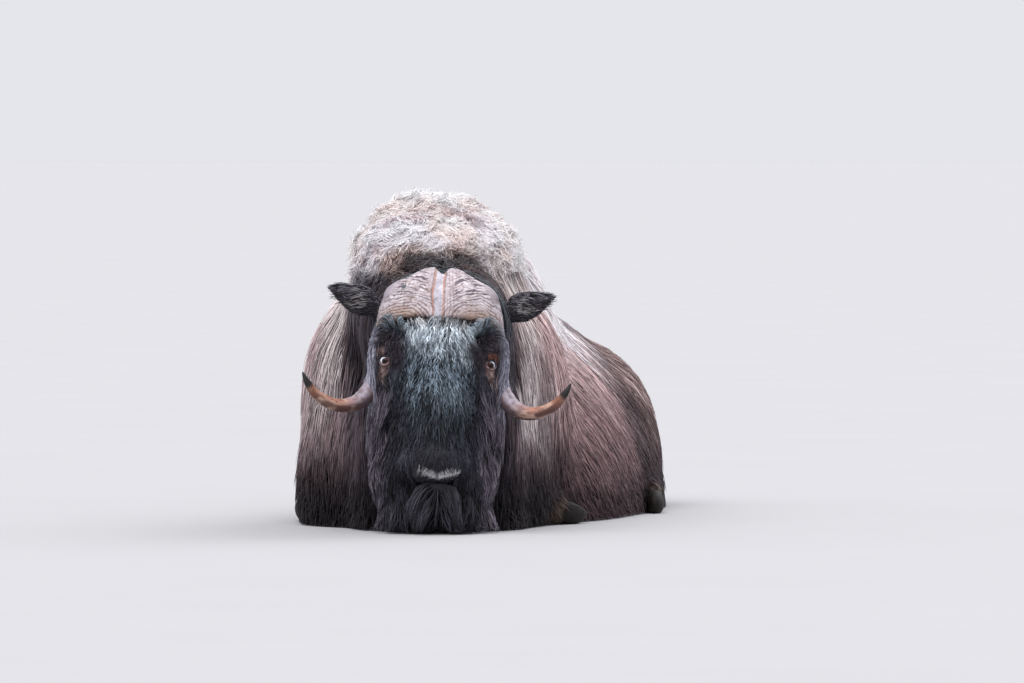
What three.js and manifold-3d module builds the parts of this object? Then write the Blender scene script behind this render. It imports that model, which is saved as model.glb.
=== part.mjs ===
// An adult muskox bull at rest, life size, lying on its brisket and belly with its legs folded and its head low.
// Millimetres. +Z is up, the body lies along Y with the rump towards +Y, and +X is the animal's left.
// Each solid is the outline of the animal out to the tips of its coat. The body is one rounded form that is
// parted by thin cuts into the trunk, neck, head, legs, feet and tail. The horns, ears, eyes and the two claws of
// each foot are pieces of their own, seated in the coat with a narrow gap.
import * as THREE from "three";
import { mergeVertices } from "three/addons/utils/BufferGeometryUtils.js";
import Module from "manifold-3d";

const wasm = await Module();
wasm.setup();

// ---------------------------------------------------------------- driving sizes
const GAP = 0.45; // between two pieces that meet
const FINE = { body: 88, head: 42 }; // facet sizes

// The barrel of the body with its skirt of long hair: a rounded ridge that stands on the floor, highest in front.
const BARREL = {
  y: 92, halfLength: 838, across: 1.74, along: 2.7,
  halfWidth: (y) => 408 - 30 * ramp(-0.0022 * (y + 60)),
  height: (y) => 606 - 0.1 * (y + 60) + 30 * ramp(-0.003 * (y + 180)),
};
const HUMP = { at: [8, -452, 636], half: [228, 322, 224], blend: 70 };
const RIDGE = { at: [0, -190, 520], half: [206, 430, 236], blend: 80 };
const HAUNCH = { at: [150, 540, 190], half: [184, 300, 236], blend: 70 };
const SHOULDER = { at: [162, -440, 306], half: [182, 262, 310], blend: 70 };
const BRISKET = { at: [0, -582, 90], half: [330, 225, 330], blend: 60 };
// The neck runs forwards, and a little to the animal's left, to the back of the head.
const NECK = { from: [15, -560, 535], fromR: 208, to: [118, -838, 508], toR: 176, blend: 60 };
const MANE = { at: [84, -742, 0], half: [226, 198, 585], power: 2.4, yaw: 16, blend: 60 };

// The head's own frame: its origin lies midway between the eyes, a runs to the animal's left, b up the face from
// the nose to the poll, and c straight out of the face.
const HEAD = { at: [150, -1000, 425], yaw: 14, pitch: 12, roll: 2.5 };
const CRANIUM = { at: [0, 78, -72], half: [160, 118, 118] };
const BROW = { at: [121, 30, -24], half: [50, 60, 54] };
const TEMPLE = { at: [126, -25, -42], half: [44, 95, 44] };
const FACE = { from: [0, 40, -46], fromR: 96, to: [0, -232, -30], toR: 80 };
const MUZZLE = { at: [0, -250, -20], half: [82, 54, 66] };
const JAW = { at: [0, -95, -128], half: [156, 175, 105] };
const BEARD = { at: [0, -205, -128], half: [168, 182, 108], power: 3 };

// One horn: half of the boss over the forehead, then a beam that drops beside the cheek and turns out and up.
const BOSS = { at: [0, 108, -58], half: [164, 142, 141], groove: 4.5, bottom: 96, back: -128 };
const BEAM = [
  [92, 158, -36, 56], [112, 112, -48, 44], [130, 60, -60, 33], [141, 10, -62, 28], [155, -45, -50, 24.5],
  [186, -92, -28, 21], [211, -111, -7, 18.2], [236, -119, 14, 16.4], [259, -119, 34, 15], [281, -112, 51, 13.8],
  [300, -101, 65, 12.2], [315, -85, 75, 9.6], [326, -69, 82, 6.5], [334, -52, 86, 2],
];
const EYE = { at: [128, 0, 4], r: 21 };
const EAR = { at: [226, 184, -112], half: [66, 40, 21], lift: 22, cup: [52, 29, 20], cupOut: 19 };

// Legs. Each is a chain of rounded lengths [x, y, z, radius], for the left side.
const FORELEG = [
  [[212, -420, 160, 80], [172, -672, 78, 66]],
  [[172, -672, 78, 66], [306, -466, 50, 44]],
];
const HINDLEG = [
  [[216, 360, 160, 90], [228, 680, 80, 66]],
  [[228, 680, 80, 66], [374, 292, 50, 44]],
];
const CLAW = { half: [25, 60, 34], spread: 25.5 };
const FOREFOOT = { at: [331, -412, 32.5], turn: -20, sole: [0, 0.42, 1], cut: 15 };
const HINDFOOT = { at: [396, 226, 27], turn: 14, sole: [0, 0, -1], cut: 27 };
const TAIL = [[0, 694, 440, 44], [0, 846, 302, 36]];

// ---------------------------------------------------------------- distance functions
const rad = THREE.MathUtils.degToRad;
const clamp = (v, a, b) => Math.min(b, Math.max(a, v));
function ramp(v) {
  const t = clamp(v, 0, 1);
  return t * t * (3 - 2 * t);
}

/** The smaller of two distances, rounded where they meet over a width k. */
function join(a, b, k) {
  const h = Math.max(k - Math.abs(a - b), 0) / k;
  return Math.min(a, b) - h * h * k * 0.25;
}

function ellipsoid(p, at, half) {
  const [x, y, z] = [p[0] - at[0], p[1] - at[1], p[2] - at[2]];
  const k0 = Math.hypot(x / half[0], y / half[1], z / half[2]);
  const k1 = Math.hypot(x / half[0] ** 2, y / half[1] ** 2, z / half[2] ** 2);
  return k1 < 1e-9 ? -Math.min(...half) : (k0 * (k0 - 1)) / k1;
}

function cone(p, a, b, ra, rb) {
  const d = [b[0] - a[0], b[1] - a[1], b[2] - a[2]];
  const q = [p[0] - a[0], p[1] - a[1], p[2] - a[2]];
  const t = clamp((q[0] * d[0] + q[1] * d[1] + q[2] * d[2]) / (d[0] ** 2 + d[1] ** 2 + d[2] ** 2), 0, 1);
  return Math.hypot(q[0] - t * d[0], q[1] - t * d[1], q[2] - t * d[2]) - (ra + (rb - ra) * t);
}

/** A rounded box-like form: power m across its section and q along y. */
function rounded(x, y, z, half, m, q) {
  const u = Math.max(Math.abs(x) / half[0], 1e-6), w = Math.max(Math.abs(z) / half[2], 1e-6);
  const v = Math.max(Math.abs(y) / half[1], 1e-6);
  const s = (u ** m + w ** m) ** (1 / m);
  const g = (s ** q + v ** q) ** (1 / q);
  const gs = g ** (1 - q) * s ** (q - 1);
  const slope = Math.hypot(
    (gs * s ** (1 - m) * u ** (m - 1)) / half[0],
    (gs * s ** (1 - m) * w ** (m - 1)) / half[2],
    (g ** (1 - q) * v ** (q - 1)) / half[1],
  );
  return (g - 1) / slope;
}

// The head's frame.
const [sy, cy] = [Math.sin(rad(HEAD.yaw)), Math.cos(rad(HEAD.yaw))];
const [sp, cp] = [Math.sin(rad(HEAD.pitch)), Math.cos(rad(HEAD.pitch))];
const [sr, cr] = [Math.sin(rad(HEAD.roll)), Math.cos(rad(HEAD.roll))];
const forward = new THREE.Vector3(sy, -cy, 0);
const left0 = new THREE.Vector3(cy, sy, 0);
const up0 = new THREE.Vector3(0, 0, cp).addScaledVector(forward, -sp);
const axisC = forward.clone().multiplyScalar(cp).add(new THREE.Vector3(0, 0, sp));
const axisA = left0.clone().multiplyScalar(cr).addScaledVector(up0, -sr);
const axisB = up0.clone().multiplyScalar(cr).addScaledVector(left0, sr);
const headMatrix = new THREE.Matrix4().makeBasis(axisA, axisB, axisC).setPosition(...HEAD.at);

function toHead(p) {
  const q = [p[0] - HEAD.at[0], p[1] - HEAD.at[1], p[2] - HEAD.at[2]];
  return [axisA, axisB, axisC].map((v) => q[0] * v.x + q[1] * v.y + q[2] * v.z);
}
const headPoint = (a, b, c) => new THREE.Vector3(a, b, c).applyMatrix4(headMatrix).toArray();

function barrel(p) {
  return rounded(p[0], p[1] - BARREL.y, p[2], [BARREL.halfWidth(p[1]), BARREL.halfLength, BARREL.height(p[1])], BARREL.across, BARREL.along);
}

function mane(p) {
  const [s, c] = [Math.sin(rad(MANE.yaw)), Math.cos(rad(MANE.yaw))];
  const [x, y] = [p[0] - MANE.at[0], p[1] - MANE.at[1]];
  return rounded(x * c + y * s, y * c - x * s, p[2], MANE.half, MANE.power, MANE.power);
}

/** Trunk and neck, with no legs: less than 0 inside. */
function body(p) {
  const m = [Math.abs(p[0]), p[1], p[2]];
  let d = barrel(p);
  d = join(d, ellipsoid(p, HUMP.at, HUMP.half), HUMP.blend);
  d = join(d, ellipsoid(p, RIDGE.at, RIDGE.half), RIDGE.blend);
  d = join(d, ellipsoid(m, HAUNCH.at, HAUNCH.half), HAUNCH.blend);
  d = join(d, ellipsoid(m, SHOULDER.at, SHOULDER.half), SHOULDER.blend);
  d = join(d, ellipsoid(p, BRISKET.at, BRISKET.half), BRISKET.blend);
  d = join(d, cone(p, NECK.from, NECK.to, NECK.fromR, NECK.toR), NECK.blend);
  return join(d, mane(p), MANE.blend);
}

function head(p) {
  const h = toHead(p);
  const m = [Math.abs(h[0]), h[1], h[2]];
  let d = ellipsoid(m, CRANIUM.at, CRANIUM.half);
  d = join(d, ellipsoid(m, BROW.at, BROW.half), 34);
  d = join(d, ellipsoid(m, TEMPLE.at, TEMPLE.half), 34);
  d = join(d, cone(m, FACE.from, FACE.to, FACE.fromR, FACE.toR), 40);
  d = join(d, ellipsoid(m, MUZZLE.at, MUZZLE.half), 30);
  d = join(d, ellipsoid(m, JAW.at, JAW.half), 40);
  const q = [m[0] - BEARD.at[0], m[1] - BEARD.at[1], m[2] - BEARD.at[2]];
  return join(d, rounded(q[0], q[1], q[2], BEARD.half, BEARD.power, BEARD.power), 40);
}

// ---------------------------------------------------------------- surfaces from distances
/**
 * The closed surface where shape is 0, inside a box, from a grid of step h: one point in each cell that it crosses.
 * Then every point moves outwards by grow, so that a grown surface has the same facets and clears the first.
 */
function surface(shape, low, high, h, grow = 0) {
  const n = [0, 1, 2].map((i) => Math.ceil((high[i] - low[i]) / h) + 1);
  const top = low.map((v, x) => v + (n[x] - 2.2) * h), base = low.map((v) => v + 1.2 * h);
  const f = (p) => Math.max(shape(p), ...p.map((v, x) => Math.max(v - top[x], base[x] - v)));
  const id = (i, j, k) => (k * n[1] + j) * n[0] + i;
  const value = new Float64Array(n[0] * n[1] * n[2]);
  for (let k = 0; k < n[2]; k++)
    for (let j = 0; j < n[1]; j++)
      for (let i = 0; i < n[0]; i++) value[id(i, j, k)] = f([low[0] + i * h, low[1] + j * h, low[2] + k * h]) || 1e-6;
  const cell = new Map(), points = [], faces = [];
  const corner = [];
  for (let c = 0; c < 8; c++) corner.push([c & 1, (c >> 1) & 1, (c >> 2) & 1]);
  for (let k = 0; k < n[2] - 1; k++)
    for (let j = 0; j < n[1] - 1; j++)
      for (let i = 0; i < n[0] - 1; i++) {
        const v = corner.map(([a, b, c]) => value[id(i + a, j + b, k + c)]);
        const inside = v.filter((x) => x < 0).length;
        if (inside === 0 || inside === 8) continue;
        const sum = [0, 0, 0];
        let crossings = 0;
        for (let a = 0; a < 8; a++)
          for (const bit of [1, 2, 4]) {
            const b = a | bit;
            if (b === a || v[a] < 0 === v[b] < 0) continue;
            const t = v[a] / (v[a] - v[b]);
            for (let x = 0; x < 3; x++) sum[x] += corner[a][x] + t * (corner[b][x] - corner[a][x]);
            crossings++;
          }
        let p = [i, j, k].map((c, x) => low[x] + (c + sum[x] / crossings) * h);
        for (let step = 0; step < 3; step++) {
          const e = 0.5, d = step < 2 ? f(p) : 0;
          const g = [0, 1, 2].map((x) => (f(p.map((c, y) => c + (x === y ? e : 0))) - f(p.map((c, y) => c - (x === y ? e : 0)))) / (2 * e));
          const gg = Math.max(g[0] ** 2 + g[1] ** 2 + g[2] ** 2, 1e-6);
          const move = g.map((x) => (step < 2 ? clamp((-d * x) / gg, -0.3 * h, 0.3 * h) : (grow * x) / Math.sqrt(gg)));
          p = p.map((c, x) => c + move[x]);
        }
        cell.set(id(i, j, k), points.length);
        points.push(p);
      }
  const far = (a, b) => Math.hypot(...points[a].map((c, x) => c - points[b][x]));
  for (let k = 1; k < n[2] - 1; k++)
    for (let j = 1; j < n[1] - 1; j++)
      for (let i = 1; i < n[0] - 1; i++) {
        const here = value[id(i, j, k)] < 0;
        const edges = [
          [id(i + 1, j, k), [[i, j - 1, k - 1], [i, j, k - 1], [i, j, k], [i, j - 1, k]]],
          [id(i, j + 1, k), [[i - 1, j, k - 1], [i - 1, j, k], [i, j, k], [i, j, k - 1]]],
          [id(i, j, k + 1), [[i - 1, j - 1, k], [i, j - 1, k], [i, j, k], [i - 1, j, k]]],
        ];
        for (const [other, around] of edges) {
          if (value[other] < 0 === here) continue;
          let q = around.map((c) => cell.get(id(...c)));
          if (q.some((x) => x === undefined)) continue;
          if (!here) q = q.reverse();
          if (far(q[0], q[2]) < far(q[1], q[3])) faces.push([q[0], q[1], q[2]], [q[0], q[2], q[3]]);
          else faces.push([q[1], q[2], q[3]], [q[1], q[3], q[0]]);
        }
      }
  const geometry = new THREE.BufferGeometry();
  geometry.setAttribute("position", new THREE.BufferAttribute(new Float32Array(points.flat()), 3));
  geometry.setIndex(faces.flat());
  return geometry;
}

function solid(geometry, matrix) {
  let g = geometry.clone();
  g.deleteAttribute("normal");
  g.deleteAttribute("uv");
  if (matrix) g.applyMatrix4(matrix);
  g = mergeVertices(g, 1e-3);
  return new wasm.Manifold(new wasm.Mesh({ numProp: 3, vertProperties: g.attributes.position.array, triVerts: new Uint32Array(g.index.array) }));
}

/** The biggest piece of a solid, as cuts can leave slivers. */
function biggest(s) {
  const all = s.decompose();
  return all.reduce((a, b) => (a.volume() > b.volume() ? a : b));
}

/** Everything on the side of a plane that its normal points to, as far as the object reaches. */
function halfSpace(point, normal, shift = 0) {
  const n = new THREE.Vector3(...normal).normalize();
  const m = new THREE.Matrix4().makeRotationFromQuaternion(new THREE.Quaternion().setFromUnitVectors(new THREE.Vector3(0, 0, 1), n));
  m.setPosition(new THREE.Vector3(...point).addScaledVector(n, shift));
  return solid(new THREE.BoxGeometry(5000, 5000, 5000).translate(0, 0, 2500), m);
}

const floor = halfSpace([0, 0, 0], [0, 0, 1]);

/** A round length between two points [x, y, z, radius], domed at both ends. */
function limb(a, b, side, grow, around = 7) {
  const from = new THREE.Vector3(a[0] * side, a[1], a[2]), to = new THREE.Vector3(b[0] * side, b[1], b[2]);
  const [ra, rb, length] = [a[3] + grow, b[3] + grow, from.distanceTo(to)];
  const profile = [[0, -ra], [0.72 * ra, -0.72 * ra], [ra, 0], [rb, length], [0.72 * rb, length + 0.72 * rb], [0, length + rb]];
  const g = new THREE.LatheGeometry(profile.map(([x, y]) => new THREE.Vector2(x, y)), around);
  const m = new THREE.Matrix4().makeRotationFromQuaternion(
    new THREE.Quaternion().setFromUnitVectors(new THREE.Vector3(0, 1, 0), to.clone().sub(from).normalize()),
  );
  return solid(g, m.setPosition(from));
}

const leg = (chain, side, grow) => chain.map(([a, b]) => limb(a, b, side, grow)).reduce((x, y) => x.add(y));

// ---------------------------------------------------------------- horns
/** A closed tube through rings round a path of [a, b, c, radius]. */
function beam(path, grow, around = 8, stepsPer = 1) {
  const curve = new THREE.CatmullRomCurve3(path.map((p) => new THREE.Vector3(p[0], p[1], p[2])), false, "centripetal");
  const count = (path.length - 1) * stepsPer;
  const points = [], index = [];
  const side = new THREE.Vector3(0, 0, 1);
  for (let i = 0; i <= count; i++) {
    const t = i / count, s = t * (path.length - 1), k = Math.min(Math.floor(s), path.length - 2);
    const r = path[k][3] + (path[k + 1][3] - path[k][3]) * (s - k) + grow;
    const at = curve.getPoint(t), along = curve.getTangent(t);
    const u = side.clone().addScaledVector(along, -side.dot(along)).normalize();
    const v = along.clone().cross(u);
    for (let j = 0; j < around; j++) {
      const w = (2 * Math.PI * j) / around;
      points.push(...at.clone().addScaledVector(u, r * Math.cos(w)).addScaledVector(v, r * Math.sin(w)).toArray());
    }
  }
  for (let i = 0; i < count; i++)
    for (let j = 0; j < around; j++) {
      const a = i * around + j, b = i * around + ((j + 1) % around), c = a + around, d = b + around;
      index.push(a, b, d, a, d, c);
    }
  for (const [ring, turn] of [[0, true], [count, false]]) {
    const middle = points.length / 3;
    const at = curve.getPoint(ring / count), along = curve.getTangent(ring / count);
    const tip = at.addScaledVector(along, turn ? -6 : path[path.length - 1][3] + 3 + grow);
    points.push(...tip.toArray());
    for (let j = 0; j < around; j++) {
      const a = ring * around + j, b = ring * around + ((j + 1) % around);
      index.push(...(turn ? [middle, b, a] : [middle, a, b]));
    }
  }
  const g = new THREE.BufferGeometry();
  g.setAttribute("position", new THREE.BufferAttribute(new Float32Array(points), 3));
  g.setIndex(index);
  return g;
}

function horn(side, grow) {
  const tube = solid(beam(BEAM, grow));
  const dome = solid(
    new THREE.SphereGeometry(1, 16, 10).applyMatrix4(
      new THREE.Matrix4().makeScale(BOSS.half[0] + grow, BOSS.half[1] + grow, BOSS.half[2] + grow).setPosition(...BOSS.at),
    ),
  );
  // The slab of the boss, seen from the front: straight at the groove, with a lower edge that bows up at the middle.
  const outline = new THREE.Shape();
  outline.moveTo(BOSS.groove - grow, BOSS.bottom + 4 - grow);
  outline.quadraticCurveTo(60, BOSS.bottom + 14 - grow, 112, BOSS.bottom - 2 - grow);
  outline.quadraticCurveTo(150, BOSS.bottom - 22 - grow, 190, BOSS.bottom - 40 - grow);
  outline.lineTo(190, 280);
  outline.lineTo(BOSS.groove - grow, 280);
  outline.closePath();
  const slab = solid(
    new THREE.ExtrudeGeometry(outline, { depth: 260 - BOSS.back + grow, bevelEnabled: false, curveSegments: 4 }).translate(0, 0, BOSS.back - grow),
  );
  let made = dome.intersect(slab).add(tube.intersect(solid(new THREE.BoxGeometry(2000, 2000, 2000).translate(1000 + BOSS.groove - grow, 0, 0))));
  if (side < 0) made = made.mirror([1, 0, 0]);
  return made.transform(headMatrix.elements);
}

// ---------------------------------------------------------------- ears, eyes, claws
function ear(side, grow) {
  const turn = new THREE.Matrix4().makeRotationZ(rad(EAR.lift));
  const egg = (half, x, z, more) => {
    const g = new THREE.SphereGeometry(1, 10, 8).rotateZ(Math.PI / 2); // its poles lie at the root and the tip
    const p = g.attributes.position;
    for (let i = 0; i < p.count; i++) {
      const taper = 1 - 0.3 * p.getX(i); // broad at the root and narrow at the tip
      p.setXYZ(i, p.getX(i) * (half[0] + more), p.getY(i) * (half[1] * taper + more), p.getZ(i) * (half[2] + more));
    }
    return g.translate(x, 0, z).applyMatrix4(turn).translate(...EAR.at);
  };
  let made = solid(egg(EAR.half, 0, 0, grow));
  if (grow === 0) made = made.subtract(solid(egg(EAR.cup, 3, EAR.cupOut, 0)));
  if (side < 0) made = made.mirror([1, 0, 0]);
  return made.transform(headMatrix.elements);
}

function eye(side, grow) {
  return solid(
    new THREE.SphereGeometry(EYE.r + grow, 10, 7),
    new THREE.Matrix4().setPosition(...headPoint(EYE.at[0] * side, EYE.at[1], EYE.at[2])),
  );
}

/** One claw of a foot: a rounded wedge cut flat at its sole. */
function claw(foot, side, inner, grow) {
  const k = CLAW.half.map((v) => v + grow);
  const shape = new THREE.SphereGeometry(1, 8, 6);
  shape.rotateX(Math.PI / 2); // its poles lie along the claw
  shape.scale(...k);
  let made = solid(shape);
  const n = new THREE.Vector3(...foot.sole).normalize();
  made = made.subtract(halfSpace([0, 0, 0], n.toArray(), foot.cut + grow));
  const turn = rad(foot.turn * side);
  const m = new THREE.Matrix4().makeRotationZ(turn);
  const offset = new THREE.Vector3(CLAW.spread * (inner ? -side : side), 0, 0).applyMatrix4(m);
  m.setPosition(foot.at[0] * side + offset.x, foot.at[1] + offset.y, foot.at[2]);
  return made.transform(m.elements).intersect(floor);
}

// ---------------------------------------------------------------- the pieces
const COLOURS = {
  coat: [0x4a3a30, 0.95, 0], mane: [0x6b5746, 0.95, 0], face: [0x2e2e2a, 0.95, 0], leg: [0x7b6a58, 0.95, 0],
  horn: [0x9c7a5c, 0.55, 0], eye: [0x1c120c, 0.12, 0], ear: [0x241e1b, 0.95, 0], claw: [0x2a241f, 0.5, 0],
};
const group = new THREE.Group();

function add(name, colour, made) {
  const m = biggest(made).getMesh();
  const position = new Float32Array(m.numVert * 3);
  for (let i = 0; i < m.numVert; i++) position.set(m.vertProperties.subarray(i * m.numProp, i * m.numProp + 3), i * 3);
  const g = new THREE.BufferGeometry();
  g.setAttribute("position", new THREE.BufferAttribute(position, 3));
  g.setIndex(new THREE.BufferAttribute(m.triVerts, 1));
  g.computeVertexNormals();
  const [color, roughness, metalness] = COLOURS[colour];
  const mesh = new THREE.Mesh(g, new THREE.MeshStandardMaterial({ color, roughness, metalness }));
  mesh.name = name;
  group.add(mesh);
}

const SIDES = [[1, "left"], [-1, "right"]];
const whole = solid(surface(body, [-620, -1110, -264], [620, 1080, 980], FINE.body)).intersect(floor);

// The head, that the legs and the neck keep clear of.
const at = HEAD.at;
const headGrid = [[at[0] - 260, at[1] - 170, at[2] - 420], [at[0] + 260, at[1] + 330, at[2] + 270]];
const headSolid = (grow) => solid(surface(head, headGrid[0], headGrid[1], FINE.head, grow)).intersect(floor);
const headCut = headSolid(GAP);

// Feet and legs, that the coat is cut to fit round.
const feet = [], legsGrown = [];
for (const [side, word] of SIDES) {
  for (const [foot, place] of [[FOREFOOT, "fore"], [HINDFOOT, "hind"]])
    for (const inner of [true, false]) {
      add(`claw_${place}_${word}_${inner ? "inner" : "outer"}`, "claw", claw(foot, side, inner, 0));
      feet.push(claw(foot, side, inner, GAP));
    }
}
// The two claws of a foot meet at a plane between them.
const footCut = feet.reduce((a, b) => a.add(b));
for (const [side, word] of SIDES)
  for (const [name, chain] of [["foreleg", FORELEG], ["hindleg", HINDLEG]]) {
    const made = leg(chain, side, 0).intersect(floor).subtract(footCut).subtract(headCut);
    add(`${name}_${word}`, "leg", made);
    legsGrown.push(leg(chain, side, GAP));
  }
const legCut = legsGrown.reduce((a, b) => a.add(b));

const tailShape = (grow) => limb(TAIL[0], TAIL[1], 1, grow);
add("tail", "coat", tailShape(0));

// The horns, ears and eyes are let into the head.
const hornCut = horn(1, GAP).add(horn(-1, GAP));
const earCut = ear(1, GAP * 1.5).add(ear(-1, GAP * 1.5));
const eyeCut = eye(1, GAP).add(eye(-1, GAP));
add("head", "face", headSolid(0).subtract(hornCut).subtract(earCut).subtract(eyeCut));
for (const [side, word] of SIDES) {
  add(`horn_${word}`, "horn", horn(side, 0).subtract(eyeCut));
  add(`ear_${word}`, "ear", ear(side, 0).subtract(hornCut));
  add(`eye_${word}`, "eye", eye(side, 0));
}

// Neck and trunk part at a sloping plane in front of the shoulders.
const part = [[0, -600, 0], [0.24, -0.95, 0.2]];
const cuts = legCut.add(footCut).add(headCut).add(hornCut).add(earCut);
add("neck", "mane", whole.intersect(halfSpace(part[0], part[1], GAP / 2)).subtract(cuts));
add("trunk", "coat", whole.subtract(halfSpace(part[0], part[1], -GAP / 2)).subtract(cuts).subtract(tailShape(GAP)));

// The frame's origin is the middle of the object's box, at floor level.
const box = new THREE.Box3().setFromObject(group);
group.children.forEach((m) => m.geometry.translate(-(box.min.x + box.max.x) / 2, -(box.min.y + box.max.y) / 2, -box.min.z));

export default group;
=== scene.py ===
"""Looks of a bull muskox at rest: one skin over all the flesh, a coat of solid locks that follow the lie of the
hair, ridged horns, eyes with lids, and hooves. Lengths in the shape code are millimetres in the model's own frame,
before it is centred on the origin."""

import math

import bpy
import numpy as np
from mathutils import Matrix, Vector

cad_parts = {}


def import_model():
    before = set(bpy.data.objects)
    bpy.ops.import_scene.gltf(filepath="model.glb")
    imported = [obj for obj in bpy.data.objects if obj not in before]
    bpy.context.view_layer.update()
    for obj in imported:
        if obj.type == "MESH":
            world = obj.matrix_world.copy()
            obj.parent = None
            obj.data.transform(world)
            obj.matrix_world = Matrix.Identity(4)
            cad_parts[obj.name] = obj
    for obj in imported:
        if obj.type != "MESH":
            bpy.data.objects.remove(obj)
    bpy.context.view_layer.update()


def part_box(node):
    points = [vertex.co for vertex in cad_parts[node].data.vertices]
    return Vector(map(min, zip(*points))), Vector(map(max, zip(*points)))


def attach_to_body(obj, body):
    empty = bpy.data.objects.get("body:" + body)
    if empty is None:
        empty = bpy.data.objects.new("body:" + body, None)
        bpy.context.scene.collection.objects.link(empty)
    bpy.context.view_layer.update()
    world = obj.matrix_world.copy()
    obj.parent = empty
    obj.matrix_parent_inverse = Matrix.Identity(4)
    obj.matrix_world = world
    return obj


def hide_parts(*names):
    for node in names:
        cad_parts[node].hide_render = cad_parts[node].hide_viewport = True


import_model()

RNG = np.random.default_rng(20731)
F = np.float32

# ------------------------------------------------------------------ the animal's sizes, as in the solids
BARREL = dict(y=92, half_length=838, across=1.74, along=2.7)
HUMP = ((8, -452, 636), (228, 322, 224), 70)
RIDGE = ((0, -190, 520), (206, 430, 236), 80)
HAUNCH = ((150, 540, 190), (184, 300, 236), 70)
SHOULDER = ((162, -440, 306), (182, 262, 310), 70)
BRISKET = ((0, -582, 90), (330, 225, 330), 60)
NECK = ((15, -560, 535), 208, (118, -838, 508), 176, 60)
MANE = dict(at=(84, -742, 0), half=(226, 198, 585), power=2.4, yaw=16, blend=60)
HEAD = dict(at=(150, -1000, 425), yaw=14, pitch=12, roll=2.5)
CRANIUM = ((0, 78, -72), (160, 118, 118))
BROW = ((121, 30, -24), (50, 60, 54))
TEMPLE = ((126, -25, -42), (44, 95, 44))
FACE = ((0, 40, -46), 96, (0, -232, -30), 80)
MUZZLE = ((0, -250, -20), (82, 54, 66))
JAW = ((0, -95, -128), (156, 175, 105))
BEARD = ((0, -205, -128), (168, 182, 108), 3)
BOSS = dict(at=(0, 108, -58), half=(155, 142, 141), groove=0.6, bottom=96, back=-128)
BEAM = np.array([
    [92, 158, -36, 56], [112, 112, -48, 44], [130, 60, -60, 33], [141, 10, -62, 28], [155, -45, -50, 24.5],
    [186, -92, -28, 21], [211, -111, -7, 18.2], [236, -119, 14, 16.4], [259, -119, 34, 15], [281, -112, 51, 13.8],
    [300, -101, 65, 12.2], [315, -85, 75, 9.6], [326, -69, 82, 6.5], [334, -52, 86, 2],
], F)
EYE = dict(at=(128, 0, 4), r=21)
EAR = dict(at=(226, 184, -112), half=(66, 40, 21), lift=22, cup=(52, 29, 20), cup_out=19)
FORELEG = (((212, -420, 160), 80, (172, -672, 78), 66), ((172, -672, 78), 66, (306, -466, 50), 44))
HINDLEG = (((216, 360, 160), 90, (228, 680, 80), 66), ((228, 680, 80), 66, (374, 292, 50), 44))
TAIL = ((0, 694, 440), 44, (0, 846, 302), 36)
CLAW = dict(half=(25, 60, 34), spread=25.5)
FOREFOOT = dict(at=(331, -412, 32.5), turn=-20, sole=(0, 0.42, 1), cut=15)
HINDFOOT = dict(at=(396, 226, 27), turn=14, sole=(0, 0, -1), cut=27)

# ------------------------------------------------------------------ small maths
def ramp(v):
    t = np.clip(v, 0, 1)
    return t * t * (3 - 2 * t)


def join(a, b, k):
    h = np.maximum(k - np.abs(a - b), 0) / k
    return np.minimum(a, b) - h * h * k * 0.25


def meet(a, b, k):
    return -join(-a, -b, k)


def unit(v):
    return v / np.maximum(np.linalg.norm(v, axis=-1, keepdims=True), 1e-6)


_TABLE = np.random.default_rng(5).random(1 << 15).astype(F)


def _hash(i, j, k, seed):
    h = (i * 73856093) ^ (j * 19349663) ^ (k * 83492791) ^ (seed * 2654435)
    h ^= h >> 13
    return _TABLE[(h * 1103515245 + 12345 >> 3) & 0x7FFF]


def noise(p, size, seed=0):
    """Smooth value noise from -1 to 1. size is its grain, one number or three."""
    q = p / np.asarray(size, F)
    i = np.floor(q).astype(np.int64)
    t = (q - i).astype(F)
    t = t * t * (3 - 2 * t)
    out = 0
    for a in (0, 1):
        wa = t[..., 0] if a else 1 - t[..., 0]
        for b in (0, 1):
            wb = t[..., 1] if b else 1 - t[..., 1]
            for c in (0, 1):
                wc = t[..., 2] if c else 1 - t[..., 2]
                out = out + wa * wb * wc * _hash(i[..., 0] + a, i[..., 1] + b, i[..., 2] + c, seed)
    return out * 2 - 1


def noise3(p, size, seed=0):
    return np.stack([noise(p, size, seed + s) for s in (11, 23, 37)], -1)


def ellipsoid(p, at, half):
    q = p - np.asarray(at, F)
    h = np.asarray(half, F)
    k0 = np.sqrt(((q / h) ** 2).sum(-1))
    k1 = np.sqrt(((q / (h * h)) ** 2).sum(-1))
    return k0 * (k0 - 1) / np.maximum(k1, 1e-9)


def cone(p, a, ra, b, rb):
    a, b = np.asarray(a, F), np.asarray(b, F)
    d, q = b - a, p - a
    t = np.clip((q @ d) / (d @ d), 0, 1)
    return np.linalg.norm(q - t[..., None] * d, axis=-1) - (ra + (rb - ra) * t)


def rounded(x, y, z, hx, hy, hz, m, n):
    u, v, w = np.maximum(np.abs(x) / hx, 1e-6), np.maximum(np.abs(y) / hy, 1e-6), np.maximum(np.abs(z) / hz, 1e-6)
    s = (u**m + w**m) ** (1 / m)
    g = (s**n + v**n) ** (1 / n)
    gs = g ** (1 - n) * s ** (n - 1)
    slope = np.sqrt(
        (gs * s ** (1 - m) * u ** (m - 1) / hx) ** 2
        + (gs * s ** (1 - m) * w ** (m - 1) / hz) ** 2
        + (g ** (1 - n) * v ** (n - 1) / hy) ** 2
    )
    return (g - 1) / slope


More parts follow.
